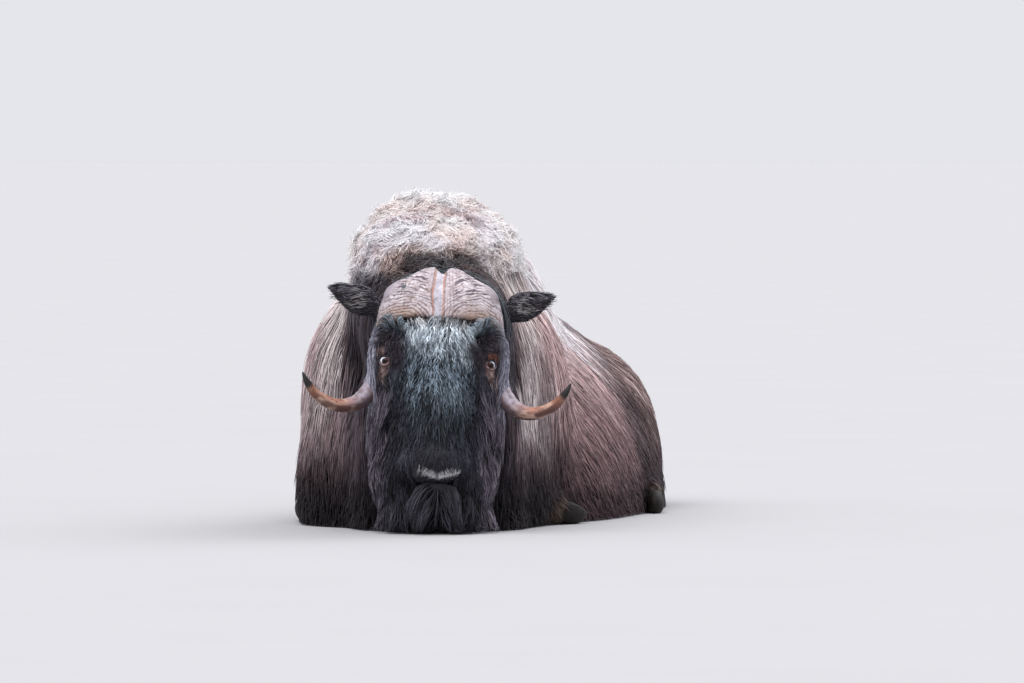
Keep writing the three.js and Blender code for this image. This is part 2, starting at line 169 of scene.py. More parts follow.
# The head's frame.
_y, _p, _r = (math.radians(HEAD[k]) for k in ("yaw", "pitch", "roll"))
_f = np.array([math.sin(_y), -math.cos(_y), 0])
_l = np.array([math.cos(_y), math.sin(_y), 0])
_u = np.array([0, 0, math.cos(_p)]) - _f * math.sin(_p)
AXES = np.stack([
    _l * math.cos(_r) - _u * math.sin(_r),
    _u * math.cos(_r) + _l * math.sin(_r),
    _f * math.cos(_p) + np.array([0, 0, math.sin(_p)]),
]).astype(F)  # rows: a to the animal's left, b up the face, c out of it
ORIGIN = np.array(HEAD["at"], F)


def to_head(p):
    return (p - ORIGIN) @ AXES.T


def from_head(h):
    return np.asarray(h, F) @ AXES + ORIGIN


def mirrored(p):
    return np.stack([np.abs(p[..., 0]), p[..., 1], p[..., 2]], -1)


# ------------------------------------------------------------------ outer form, out to the tips of the coat
def body(p):
    m = mirrored(p)
    y = p[..., 1]
    width = 408 - 30 * ramp(-0.0022 * (y + 60))
    height = 606 - 0.1 * (y + 60) + 30 * ramp(-0.003 * (y + 180))
    d = rounded(p[..., 0], y - BARREL["y"], p[..., 2], width, BARREL["half_length"], height, BARREL["across"], BARREL["along"])
    d = join(d, ellipsoid(p, HUMP[0], HUMP[1]), HUMP[2])
    d = join(d, ellipsoid(p, RIDGE[0], RIDGE[1]), RIDGE[2])
    d = join(d, ellipsoid(m, HAUNCH[0], HAUNCH[1]), HAUNCH[2])
    d = join(d, ellipsoid(m, SHOULDER[0], SHOULDER[1]), SHOULDER[2])
    d = join(d, ellipsoid(p, BRISKET[0], BRISKET[1]), BRISKET[2])
    d = join(d, cone(p, NECK[0], NECK[1], NECK[2], NECK[3]), NECK[4])
    s, c = math.sin(math.radians(MANE["yaw"])), math.cos(math.radians(MANE["yaw"]))
    x, y = p[..., 0] - MANE["at"][0], p[..., 1] - MANE["at"][1]
    return join(d, rounded(x * c + y * s, y * c - x * s, p[..., 2], *MANE["half"], MANE["power"], MANE["power"]), MANE["blend"])


def head_form(h):
    m = mirrored(h)
    d = ellipsoid(m, *CRANIUM)
    d = join(d, ellipsoid(m, *BROW), 34)
    d = join(d, ellipsoid(m, *TEMPLE), 34)
    d = join(d, cone(m, *FACE), 40)
    d = join(d, ellipsoid(m, *MUZZLE), 30)
    d = join(d, ellipsoid(m, *JAW), 40)
    q = m - np.asarray(BEARD[0], F)
    return join(d, rounded(q[..., 0], q[..., 1], q[..., 2], *BEARD[1], BEARD[2], BEARD[2]), 40)


def head(p):
    return head_form(to_head(p))


def boss_form(h):
    """The dome of the boss, 0 at its surface."""
    return ellipsoid(h, BOSS["at"], BOSS["half"])


# ------------------------------------------------------------------ the skin, inside that form by the coat's depth
def wool_mask(p):
    """1 on the woolly hump, 0 on the long coat."""
    side = ramp((p[..., 2] - (560 + 0.25 * np.abs(p[..., 0]))) / 90)
    return side * ramp((60 - p[..., 1]) / 240)


def lumps(p):
    """The matted billows of the wool: rounded bumps with creases between them."""
    q = p + 18 * noise3(p, 90, 6)
    return 44 * np.abs(noise(q, 104, 3)) + 15 * np.abs(noise(q, 44, 4)) - 15


def body_depth(p):
    long_coat = 40 - 10 * ramp((p[..., 2] - 420) / 200)
    wool = np.maximum(30 - lumps(p), 5)
    return long_coat + (wool - long_coat) * wool_mask(p)


def head_depth(h):
    a, b = np.abs(h[..., 0]), h[..., 1]
    d = 9 + 15 * ramp((-60 - b) / 160)
    d = d + 12 * ramp((a - 90) / 60) * ramp((-20 - b) / 90)  # cheeks
    snout = ramp(1.6 - np.sqrt((a / 78) ** 2 + ((b + 262) / 62) ** 2)) * ramp((h[..., 2] + 10) / 30)
    d = d * (1 - 0.9 * snout) + 16 * ramp((-20 - h[..., 2]) / 60) * ramp((b + 240) / 60)
    near = ramp(1.7 - np.hypot((a - 130) / 32, (b + 4) / 36)) * ramp((h[..., 2] + 50) / 30)
    return d + (3.5 - d) * near


def eye_frame(h):
    """Coordinates round the left eye: e0 towards the ear, e1 up, e2 along its gaze."""
    m = mirrored(h) - np.asarray(EYE["at"], F)
    return m @ GAZE.T


_g = unit(np.array([0.36, -0.05, 0.93]))
_e0 = unit(np.cross([0, 1, 0], _g))
GAZE = np.stack([_e0, np.cross(_g, _e0), _g]).astype(F)


def eye_open(e):
    """How far a point lies outside the slit between the lids, in the eye's frame."""
    t = e[..., 1] - 0.10 * e[..., 0]
    return np.maximum(np.hypot(e[..., 0], t + 2.5) - 11.6, np.hypot(e[..., 0], t - 2.7) - 11.9)


def nose_turn(h):
    """The muzzle is turned a little, so its middle lies off that of the face."""
    return h - np.stack([0.04 * np.maximum(-h[..., 1], 0), 0 * h[..., 1], 0 * h[..., 1]], -1).astype(F)


def lip_mask(h):
    """1 on the two pale lobes of the upper lip."""
    q = nose_turn(h)
    a, b = np.abs(q[..., 0]), q[..., 1]
    off = np.abs(b + 291 - 0.36 * a) / (6.5 + 0.06 * a)
    return ramp((1.15 - off) / 0.3) * ramp((60 - a) / 8) * (0.35 + 0.65 * ramp((a - 2) / 4)) * ramp((q[..., 2] + 6) / 12)


def head_skin(p):
    h = to_head(p)
    m = mirrored(h)
    d = head_form(h) + head_depth(h)
    e = eye_frame(h)
    r = np.linalg.norm(e, axis=-1)
    s = eye_open(e)
    # A hollow for the eye, the brow over it and the cheek bone under it.
    d = meet(d, -ellipsoid(e, (0, 0, 31), (30, 24, 20)), 12)
    d = join(d, ellipsoid(e, (2, 25, 1), (33, 9, 19)), 13)
    d = join(d, ellipsoid(e, (3, -27, -7), (27, 8, 17)), 14)
    # The lids wrap the ball, with folds round them and a swollen edge.
    d = join(d, np.maximum(r - 24.2, -(e[..., 2] + 20)), 8)
    folds = 1.6 * np.exp(-(((s - 5.6) / 1.5) ** 2)) + 1.1 * np.exp(-(((s - 11) / 2.0) ** 2))
    d = d + (folds - 0.9 * np.exp(-(((s - 1.6) / 1.6) ** 2))) * ramp(e[..., 2] / 12)
    d = meet(d, -np.maximum(np.maximum(s, 19.4 - r), 2 - e[..., 2]), 1.6)
    # Upper lip in two lobes, nose pad, mouth line, nostrils and the furrow between them.
    m = mirrored(nose_turn(h))
    d = join(d, cone(m, (6, -290, 20), 9, (52, -272, 14), 9), 9)
    d = join(d, ellipsoid(m, (0, -246, 26), (46, 22, 24)), 12)
    d = join(d, ellipsoid(m, (0, -318, 0), (48, 16, 24)), 10)
    mouth = np.abs(m[..., 1] + 304 - 0.38 * m[..., 0]) - 2.4
    d = meet(d, -np.maximum(mouth, np.maximum(m[..., 0] - 60, 8 - m[..., 2])), 4)
    d = meet(d, -ellipsoid(m, (25, -246, 50), (13, 6, 15)), 5)
    d = meet(d, -ellipsoid(m, (33, -240, 50), (7, 9, 13)), 5)
    return meet(d, -ellipsoid(m, (0, -268, 52), (2.5, 24, 16)), 4)


def ear_frame(h, grow=0.0):
    m = mirrored(h) - np.asarray(EAR["at"], F)
    s, c = math.sin(math.radians(EAR["lift"])), math.cos(math.radians(EAR["lift"]))
    return np.stack([m[..., 0] * c + m[..., 1] * s, m[..., 1] * c - m[..., 0] * s, m[..., 2]], -1)


def ear_skin(p):
    e = ear_frame(to_head(p))
    taper = np.clip(0.95 - 0.62 * e[..., 0] / 66, 0.3, 1.4)
    q = np.stack([e[..., 0], e[..., 1] / taper, e[..., 2]], -1)
    shell = ellipsoid(q, (0, 0, 0), (62, 34, 17)) * 0.7
    cup = ellipsoid(q, (2, -2, 21), (51, 26, 26)) * 0.7
    root = cone(e, (-74, -4, -8), 20, (-34, 0, -6), 24)
    return join(meet(shell, -cup, 5), root, 14)


def chain(p, links, shrink, blend=30):
    m = mirrored(p)
    d = None
    for a, ra, b, rb in links:
        one = cone(m, a, ra - shrink, b, rb - shrink)
        d = one if d is None else join(d, one, blend)
    return d


def skin(p):
    """The whole skin, less than 0 inside. Its underside stops a little above the floor."""
    d = body(p) + body_depth(p)
    d = join(d, chain(p, FORELEG, 9), 30)
    d = join(d, chain(p, HINDLEG, 9), 30)
    d = join(d, cone(p, (0, 702, 414), 22, TAIL[2], TAIL[3] - 14), 30)
    near = (p[..., 0] > -160) & (p[..., 0] < 470) & (p[..., 1] < -640)
    if near.any():
        q = p[near]
        e = join(head_skin(q), ear_skin(q), 16)
        d = d.copy()
        d[near] = join(d[near], e, 34)
    return np.maximum(d, 6 - p[..., 2])


def gradient(f, p, e=1.5):
    g = np.empty_like(p)
    for i in range(3):
        o = np.zeros(3, F)
        o[i] = e
        g[..., i] = f(p + o) - f(p - o)
    return unit(g)


# ------------------------------------------------------------------ surface from a distance, on a graded grid
def graded(low, high, coarse, fine):
    """Grid lines from low to high: a list of (start, end, step) is finer than coarse."""
    lines = [low]
    while lines[-1] < high:
        at = lines[-1]
        step = coarse
        for a, b, s in fine:
            gap = max(a - at, at - b, 0)
            step = min(step, s + gap * 0.22)
        lines.append(at + step)
    return np.array(lines, F)


def surface(f, xs, ys, zs, block=5, reach=1.0):
    n = (len(xs), len(ys), len(zs))
    blocks = [int(math.ceil(k / block)) for k in n]
    mids = [np.array([v[min(len(v) - 1, i * block + block // 2)] for i in range(b)], F) for v, b in zip((xs, ys, zs), blocks)]
    widths = [np.array([v[min(len(v) - 1, (i + 1) * block)] - v[i * block] for i in range(b)], F) for v, b in zip((xs, ys, zs), blocks)]
    g = np.stack(np.meshgrid(*mids, indexing="ij"), -1).reshape(-1, 3)
    w = np.stack(np.meshgrid(*widths, indexing="ij"), -1).reshape(-1, 3)
    far = f(g)
    active = (np.abs(far) < np.linalg.norm(w, axis=1) * 0.95 * reach + 8).reshape(blocks)
    sign = np.where(far < 0, -1, 1).astype(F).reshape(blocks)
    up = lambda a: a.repeat(block, 0).repeat(block, 1).repeat(block, 2)[: n[0], : n[1], : n[2]]
    value = up(sign) * 5.0
    idx = np.nonzero(up(active))
    for s in range(0, len(idx[0]), 400000):
        i, j, k = (a[s : s + 400000] for a in idx)
        value[i, j, k] = f(np.stack([xs[i], ys[j], zs[k]], -1))
    value[value == 0] = 1e-4
    inside = value < 0
    total = np.zeros([k - 1 for k in n], np.int8)
    corners = [(a, b, c) for a in (0, 1) for b in (0, 1) for c in (0, 1)]
    view = lambda arr, a, b, c: arr[a : n[0] - 1 + a, b : n[1] - 1 + b, c : n[2] - 1 + c]
    for c in corners:
        total += view(inside, *c)
    cells = np.nonzero((total > 0) & (total < 8))
    ci, cj, ck = cells
    v = {c: value[ci + c[0], cj + c[1], ck + c[2]] for c in corners}
    acc = np.zeros((len(ci), 3), F)
    count = np.zeros(len(ci), F)
    for a in corners:
        for axis in range(3):
            if a[axis]:
                continue
            b = tuple(x + (i == axis) for i, x in enumerate(a))
            cross = (v[a] < 0) != (v[b] < 0)
            t = np.where(cross, v[a] / np.where(cross, v[a] - v[b], 1), 0)
            point = np.zeros((len(ci), 3), F)
            for i in range(3):
                point[:, i] = a[i] + (t if i == axis else 0)
            acc += point * cross[:, None]
            count += cross
    t = acc / count[:, None]
    base = np.stack([xs[ci], ys[cj], zs[ck]], -1)
    size = np.stack([xs[ci + 1] - xs[ci], ys[cj + 1] - ys[cj], zs[ck + 1] - zs[ck]], -1)
    points = base + t * size
    h = size.min(1, keepdims=True)
    for _ in range(2):
        gr = np.empty_like(points)
        e = 0.6
        for i in range(3):
            o = np.zeros(3, F)
            o[i] = e
            gr[:, i] = (f(points + o) - f(points - o)) / (2 * e)
        gg = np.maximum((gr**2).sum(1), 1e-3)
        points = points + np.clip(-(f(points) / gg)[:, None] * gr, -0.35 * h, 0.35 * h)
    number = np.full([k - 1 for k in n], -1, np.int32)
    number[cells] = np.arange(len(ci))
    quads = []
    for axis in range(3):
        o = [0, 0, 0]
        o[axis] = 1
        first = inside[1 : n[0] - 1, 1 : n[1] - 1, 1 : n[2] - 1]
        second = inside[1 + o[0] : n[0] - 1 + o[0], 1 + o[1] : n[1] - 1 + o[1], 1 + o[2] : n[2] - 1 + o[2]]
        i, j, k = (x + 1 for x in np.nonzero(first != second))
        flip = ~inside[i, j, k]
        around = {
            0: [(0, -1, -1), (0, 0, -1), (0, 0, 0), (0, -1, 0)],
            1: [(-1, 0, -1), (-1, 0, 0), (0, 0, 0), (0, 0, -1)],
            2: [(-1, -1, 0), (0, -1, 0), (0, 0, 0), (-1, 0, 0)],
        }[axis]
        keep = (i < n[0] - 1) & (j < n[1] - 1) & (k < n[2] - 1)
        i, j, k, flip = i[keep], j[keep], k[keep], flip[keep]
        q = np.stack([number[i + a, j + b, k + c] for a, b, c in around], -1)
        q[flip] = q[flip][:, ::-1]
        quads.append(q[(q >= 0).all(1)])
    return points, np.concatenate(quads)


# ------------------------------------------------------------------ putting meshes into the scene
_eye = (np.array(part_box("eye_left")[0]) + np.array(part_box("eye_left")[1])) / 2
_eye2 = (np.array(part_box("eye_right")[0]) + np.array(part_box("eye_right")[1])) / 2
SHIFT = ((_eye + _eye2) / 2 * 1000 - (from_head([EYE["at"][0], 0, EYE["at"][2]]) + from_head([-EYE["at"][0], 0, EYE["at"][2]])) / 2).astype(F)
SHIFT[2] = round(float(SHIFT[2]))
print("shift", SHIFT, "eyes", _eye, _eye2)


def world(p):
    return (p + SHIFT) * F(0.001)


def srgb(*c):
    c = np.array(c, F) / 255
    return np.where(c <= 0.04045, c / 12.92, ((c + 0.055) / 1.055) ** 2.4).astype(F)


def make_mesh(name, points, faces, colours=None, uv=None, smooth=True):
    """A mesh object from arrays. faces is (n, 3) or (n, 4), or a list of such arrays. points are in metres."""
    faces = faces if isinstance(faces, list) else [faces]
    loops = np.concatenate([f.reshape(-1) for f in faces]).astype(np.int32)
    sizes = np.concatenate([np.full(len(f), f.shape[1], np.int32) for f in faces])
    starts = np.concatenate([[0], np.cumsum(sizes)[:-1]]).astype(np.int32)
    mesh = bpy.data.meshes.new(name)
    mesh.vertices.add(len(points))
    mesh.vertices.foreach_set("co", np.ascontiguousarray(points, F).reshape(-1))
    mesh.loops.add(len(loops))
    mesh.loops.foreach_set("vertex_index", loops)
    mesh.polygons.add(len(sizes))
    mesh.polygons.foreach_set("loop_start", starts)
    mesh.polygons.foreach_set("loop_total", sizes)
    mesh.polygons.foreach_set("use_smooth", np.full(len(sizes), smooth, bool))
    mesh.update(calc_edges=True)
    for key, value in (colours or {}).items():
        if value.ndim == 1:
            layer = mesh.attributes.new(key, "FLOAT", "POINT")
            layer.data.foreach_set("value", np.ascontiguousarray(value, F))
        elif key.endswith("_vec"):
            layer = mesh.attributes.new(key, "FLOAT_VECTOR", "POINT")
            layer.data.foreach_set("vector", np.ascontiguousarray(value, F).reshape(-1))
        else:
            rgba = np.ones((len(value), 4), F)
            rgba[:, :3] = value
            layer = mesh.attributes.new(key, "FLOAT_COLOR", "POINT")
            layer.data.foreach_set("color", rgba.reshape(-1))
    if uv is not None:
        layer = mesh.uv_layers.new(name="OFBake")
        layer.data.foreach_set("uv", np.ascontiguousarray(uv[loops], F).reshape(-1))
    mesh.validate(clean_customdata=False)
    obj = bpy.data.objects.new(name, mesh)
    bpy.context.scene.collection.objects.link(obj)
    return obj


# ------------------------------------------------------------------ markings, shared by skin and coat
PALE = srgb(226, 214, 208)
CREAM = srgb(200, 184, 174)
TAN = srgb(150, 127, 116)
BROWN = srgb(106, 84, 74)
DARK = srgb(62, 48, 45)
BLACK = srgb(24, 20, 24)
RUMP = srgb(96, 75, 68)
SILVER = srgb(172, 176, 174)
SLATE = srgb(70, 74, 74)
LILAC = srgb(120, 116, 128)
LIP = srgb(206, 200, 200)
PINK = srgb(176, 138, 122)
STOCKING = srgb(176, 162, 142)


def mix(a, b, t):
    return a + (b - a) * np.clip(t, 0, 1)[..., None]


def body_colour(p, r):
    """The coat's colour at a point of the body. r is a random number per lock, from 0 to 1."""
    x, y, z = p[..., 0], p[..., 1], p[..., 2]
    h = to_head(p)
    a = np.abs(h[..., 0])
    cross = 0.9703 * x + 0.2419 * y
    streak = noise(p, (40, 60, 170), 8)
    fine = noise(p, (16, 26, 120), 10)
    # Flank: mauve tan at the top, brown lower down, dark at the hem, and painted shade low down in front under the neck
    # and brisket.
    c = mix(srgb(160, 130, 132) + 0 * p, srgb(214, 182, 182), ramp((z - 250 + 60 * streak) / 190))
    c = mix(c, srgb(74, 56, 60), ramp((215 - z + 60 * streak) / 190))
    # Painted shade low down in front, under the neck and brisket.
    c = mix(c, srgb(40, 30, 36), 0.9 * ramp((350 - z + 50 * streak) / 150) * ramp((-300 - y) / 200))
    rear = ramp((y - 120) / 120)
    c = mix(c, mix(srgb(48, 34, 38) + 0 * p, srgb(80, 58, 62), ramp((z - 200) / 250)), rear * 0.85)
    c = mix(c, srgb(142, 114, 108), 0.75 * ramp((y - 330 + 60 * streak) / 120) * ramp((z - 120) / 200))
    c = mix(c, srgb(228, 204, 202), 0.72 * ramp((fine + 0.5 * streak - 0.06) / 0.36) * ramp((z - 130) / 220) * ramp((r - 0.35) / 0.5))
    c = mix(c, srgb(58, 42, 46), 0.72 * ramp((-fine - 0.5 * streak - 0.05) / 0.4) * ramp((600 - z) / 160) * ramp((0.75 - r) / 0.5))
    # The saddle: a pale patch over the back behind the hump, with a tongue down the ribs.
    low = 495 - 0.15 * (y + 300) - 52 * np.exp(-(((y - 72) / 34) ** 2)) + 10 * fine
    saddle = ramp((z - low) / 26) * ramp((y + 440) / 90) * ramp((226 - y + 0.25 * (z - 474) + 16 * streak) / 46)
    c = mix(c, srgb(255, 250, 252), 0.97 * saddle)
    # Mane: grey mauve locks with a pale margin on each side, and painted shade where it meets the head.
    front = ramp((-470 - y) / 110)
    c = mix(c, mix(srgb(162, 142, 146) + 0 * p, srgb(92, 74, 80), 0.5 + 0.8 * streak + 0.5 * fine), 0.8 * front * ramp((z - 150) / 120))
    margin = ramp((30 - np.abs(cross - 132 - 8 * streak)) / 14) * ramp((-470 - y) / 60) * ramp((z - 225) / 60)
    streaked = ramp((38 - np.abs(cross + 372 - 10 * streak)) / 18) * ramp((-430 - y) / 60) * ramp((z - 290) / 90)
    c = mix(c, srgb(242, 232, 232), np.clip(margin + 0.95 * streaked, 0, 1) * (0.65 + 0.35 * r))
    # Wool over the hump, its hollows between the billows painted darker and warmer as shade, browner just above the
    # boss.
    wool = ramp((z - 580 + 14 * noise(p, 30, 5)) / 60) * ramp((20 - y) / 240)
    bump = lumps(p)
    w = mix(srgb(255, 250, 250) + 0 * p, srgb(240, 220, 214), 0.45 - 0.55 * noise(p, 46, 13) + 0.4 * (r - 0.5))
    w = mix(w, srgb(250, 246, 255), 0.6 * ramp(noise(p, 110, 14) / 0.4))
    # Painted shade in the hollows between the billows.
    w = mix(w, srgb(186, 152, 146), 0.75 * ramp((-bump - 3) / 9))
    over = z - (666 - 0.45 * np.maximum(a - 90, 0))
    near = ramp((-600 - y) / 90)
    w = mix(w, mix(srgb(132, 104, 96) + 0 * p, srgb(226, 204, 194), r), near * ramp((66 - over + 18 * streak) / 36) * ramp((190 - a) / 40))
    # Near-black band under the wool's edge at the boss: dark hair, deepened as painted shadow where the wool overhangs.
    w = mix(w, srgb(22, 16, 18), near * ramp((40 - over + 12 * fine) / 22) * ramp((134 - a) / 56) * 0.94)
    c = mix(c, w, wool)
    # The cowl between the wool and the boss: dark brown hair, darkened in part as painted shade beside the boss, with
    # blue-grey hair along the boss.
    inner = near * ramp((10 - over) / 16) * ramp((245 - a) / 20) * ramp((z - 500) / 60)
    c = mix(c, mix(srgb(44, 34, 37) + 0 * p, srgb(96, 74, 68), r), inner)
    edge = np.hypot(h[..., 0] / 1.02, h[..., 1] - 70)
    c = mix(c, mix(srgb(42, 56, 62) + 0 * p, srgb(136, 158, 164), r), near * ramp((200 - edge + 8 * fine) / 16) * ramp((h[..., 1] - 120) / 30) * 0.85)
    # Painted shade: near black in the recess between the head and the mane, and in the hollow beside the face.
    gap = ramp((74 - head_form(h)) / 56) * ramp((590 - z) / 60) * ramp((-600 - y) / 80)
    mane_recess_shade = ramp((cross + 352 + 10 * streak) / 30) * ramp((116 - cross + 8 * streak) / 18) * ramp((690 - z) / 70) * ramp((-560 - y) / 110) * (0.62 + 0.38 * ramp((z - 250) / 90))
    gap = np.maximum(gap, mane_recess_shade * (1 - 0.9 * margin) * ramp((a - 120) / 30))
    c = mix(c, mix(srgb(14, 11, 17) + 0 * p, srgb(72, 62, 74), r * (0.6 + 0.8 * np.clip(fine + 0.3, 0, 1))), 0.96 * gap)
    # More painted shade, near black, low down under the neck and brisket.
    c = mix(c, srgb(26, 21, 25), 0.85 * ramp((190 - z) / 130) * ramp((-480 - y) / 120))
    bright = 0.70 + 0.56 * r
    return c * (bright + (0.90 + 0.22 * r - bright) * wool)[..., None]


def head_colour(h, r, lips=1.0):
    a, b, c_ = np.abs(h[..., 0]), h[..., 1], h[..., 2]
    n1 = noise(h, (16, 46, 40), 31)
    n2 = noise(h, (60, 80, 60), 32)
    n3 = noise(h, (8, 30, 20), 33)
    c = mix(srgb(18, 16, 23) + 0 * h, srgb(78, 78, 92), 0.30 + 0.5 * n1 + 0.55 * r)
    # Silver with a blue-green cast down the middle of the face, near white by the boss and almost black by the mouth.
    centre = ramp((106 - a + 26 * n2 - 0.14 * np.maximum(-30 - b, 0)) / 44) * ramp((b + 240 + 50 * n2) / 110)
    high = ramp((b + 4 + 34 * n2) / 62) * ramp((112 - a) / 50)
    low = ramp((-45 - b + 40 * n2) / 120)
    shade = np.clip(0.45 + 0.5 * n1 + 0.55 * n3 + 1.4 * (r - 0.5), 0, 1)
    dark = mix(mix(srgb(40, 47, 56) + 0 * h, srgb(140, 152, 164), high), srgb(7, 8, 12), low)
    light = mix(mix(srgb(160, 178, 194) + 0 * h, srgb(238, 248, 255) * 1.12, high), srgb(64, 70, 80), low)
    c = mix(c, mix(dark, light, shade), centre)
    # Dark round the eyes, with tan skin and hair above and below each.
    patch = ramp((1.22 - np.hypot((a - 124) / 50, (b - 34) / 58) + 0.42 * n1 + 0.3 * (r - 0.5)) / 0.62)
    c = mix(c, mix(srgb(16, 12, 17) + 0 * h, srgb(84, 72, 84), np.clip(0.15 + 0.9 * r + 0.5 * n3 - 0.2, 0, 1)), 0.93 * patch)
    # Fluff along the boss, cheeks that hang in grey curtains, and a lilac rim.
    fringe = ramp((b - 76 - 6 * n2) / 16)
    c = mix(c, mix(mix(srgb(66, 76, 88) + 0 * h, srgb(150, 160, 172), ramp((90 - a) / 50)), mix(srgb(172, 188, 202) + 0 * h, srgb(255, 255, 255), ramp((84 - a) / 50)), shade), fringe)
    cheek = ramp((a - 104 + 10 * n2) / 26) * ramp((-48 - b) / 44)
    c = mix(c, mix(srgb(30, 25, 34) + 0 * h, srgb(136, 126, 140), np.clip(1.1 * r + 0.5 * n1 + 0.3 * n3 - 0.1, 0, 1)), 0.92 * cheek)
    c = mix(c, mix(srgb(104, 104, 122) + 0 * h, srgb(196, 196, 214), r), 0.8 * ramp((a - 152) / 10) * ramp((b + 130) / 50))
    c = mix(c, srgb(20, 18, 22), ramp((-215 - b) / 60) * (0.85 - 0.7 * r) * ramp((140 - a) / 30))
    tan, rust = eye_patches(h)
    c = mix(c, mix(srgb(112, 84, 82) + 0 * h, srgb(222, 196, 188), np.clip(0.2 + 0.5 * r + 0.6 * n3, 0, 1)), 0.9 * tan)
    # Dark lines across the tan patches: painted shade in the creases of the skin.
    slant = b + 20 + 0.8 * (a - 134)
    c = mix(c, srgb(34, 24, 28), 0.85 * tan * ramp((b + 60) / 20) * np.exp(-(((slant + 9 + 3 * n3) / 1.9) ** 2)))
    c = mix(c, srgb(60, 44, 46), 0.7 * tan * ramp((-6 - b) / 10) * np.exp(-(((slant - 5 + 3 * n3) / 1.6) ** 2)))
    c = mix(c, mix(srgb(104, 58, 40) + 0 * h, srgb(170, 104, 70), r), 0.85 * rust)
    lip = lip_mask(h) * lips
    c = mix(c, mix(srgb(196, 194, 198) + 0 * h, srgb(244, 244, 248), r), 0.95 * lip)
    return c * ((0.74 + 0.50 * r) * (1 + 0.22 * high * ramp((98 - a) / 40)))[..., None]


def eye_patches(h):
    """The tan patches above and below each eye, and the rusty one over the left."""
    u, v = np.abs(h[..., 0]) - 134, h[..., 1]
    front = ramp((h[..., 2] + 30) / 20)
    n = 0.22 * noise(h, 12, 36)
    below = ramp((1.1 - np.hypot((u + 0.18 * (v + 26) - 3) / 15, (v + 27) / 20) + n) / 0.35)
    above = ramp((1.0 - np.hypot((u - 9) / 11, (v - 21) / 15) + n) / 0.35)
    over = ramp((1.05 - np.hypot((u - 4) / 15, (v - 20) / 11) + n) / 0.35)
    one = (h[..., 0] > 0).astype(F)
    return np.maximum(below, above * (1 - one)) * front, over * one * front


def skin_colour(p):
    h = to_head(p)
    r = 0.30 + 0.15 * noise(p, 9, 41)
    # The skin is painted darker than the hair over it, as the shade deep inside the coat.
    c = body_colour(p, r) * 0.72
    on_head = ramp((14 - (head_form(h) - (body(p)))) / 28) * ramp((-700 - p[..., 1]) / 40) * ramp((h[..., 2] + 150) / 30)
    hc = head_colour(h, r) * 0.8
    e = eye_frame(h)
    s = eye_open(e)
    bare = ramp((9 - s) / 5) * ramp((e[..., 2] + 2) / 8)
    lid = mix(srgb(118, 92, 92) + 0 * p, srgb(74, 56, 60), 0.5 + 0.5 * noise(p, 6, 43))
    lid = mix(lid, srgb(190, 160, 160), 0.8 * ramp((-e[..., 1] - 3) / 5) * ramp((4.5 - s) / 2))
    # Painted shade: the upper lid darker under the brow, and a dark line in the lid's fold.
    lid = mix(lid, srgb(44, 30, 34), ramp((e[..., 1] - 4) / 6))
    lid = mix(lid, srgb(40, 26, 28), 0.7 * np.exp(-(((s - 5.2) / 1.0) ** 2)))
    lid = mix(lid, srgb(14, 9, 10), ramp((1.6 - s) / 0.9))
    hc = mix(hc, lid, bare)
    m = mirrored(h)
    nose = ramp((1.05 - np.hypot(m[..., 0] / 46, (m[..., 1] + 246) / 22)) / 0.25) * ramp((m[..., 2] - 24) / 10)
    hc = mix(hc, srgb(26, 22, 24), 0.9 * nose)
    c = mix(c, hc, on_head)
    q = ear_frame(h)
    ear = ramp((10 - ear_skin(p)) / 6) * ramp((q[..., 0] + 60) / 20)
    cup = ramp((q[..., 2] - 2) / 8)
    ec = mix(srgb(60, 54, 60) + 0 * p, srgb(22, 19, 23), cup)
    c = mix(c, ec, ear)
    feet = np.minimum(chain(p, FORELEG[1:], 9), chain(p, HINDLEG[1:], 9))
    out = ramp((14 - feet) / 8) * ramp((body(p) + 40) / 20)
    # The lower legs' skin is also painted darker, as shade under their hair.
    return mix(c, srgb(112, 96, 82) * 0.7, out)


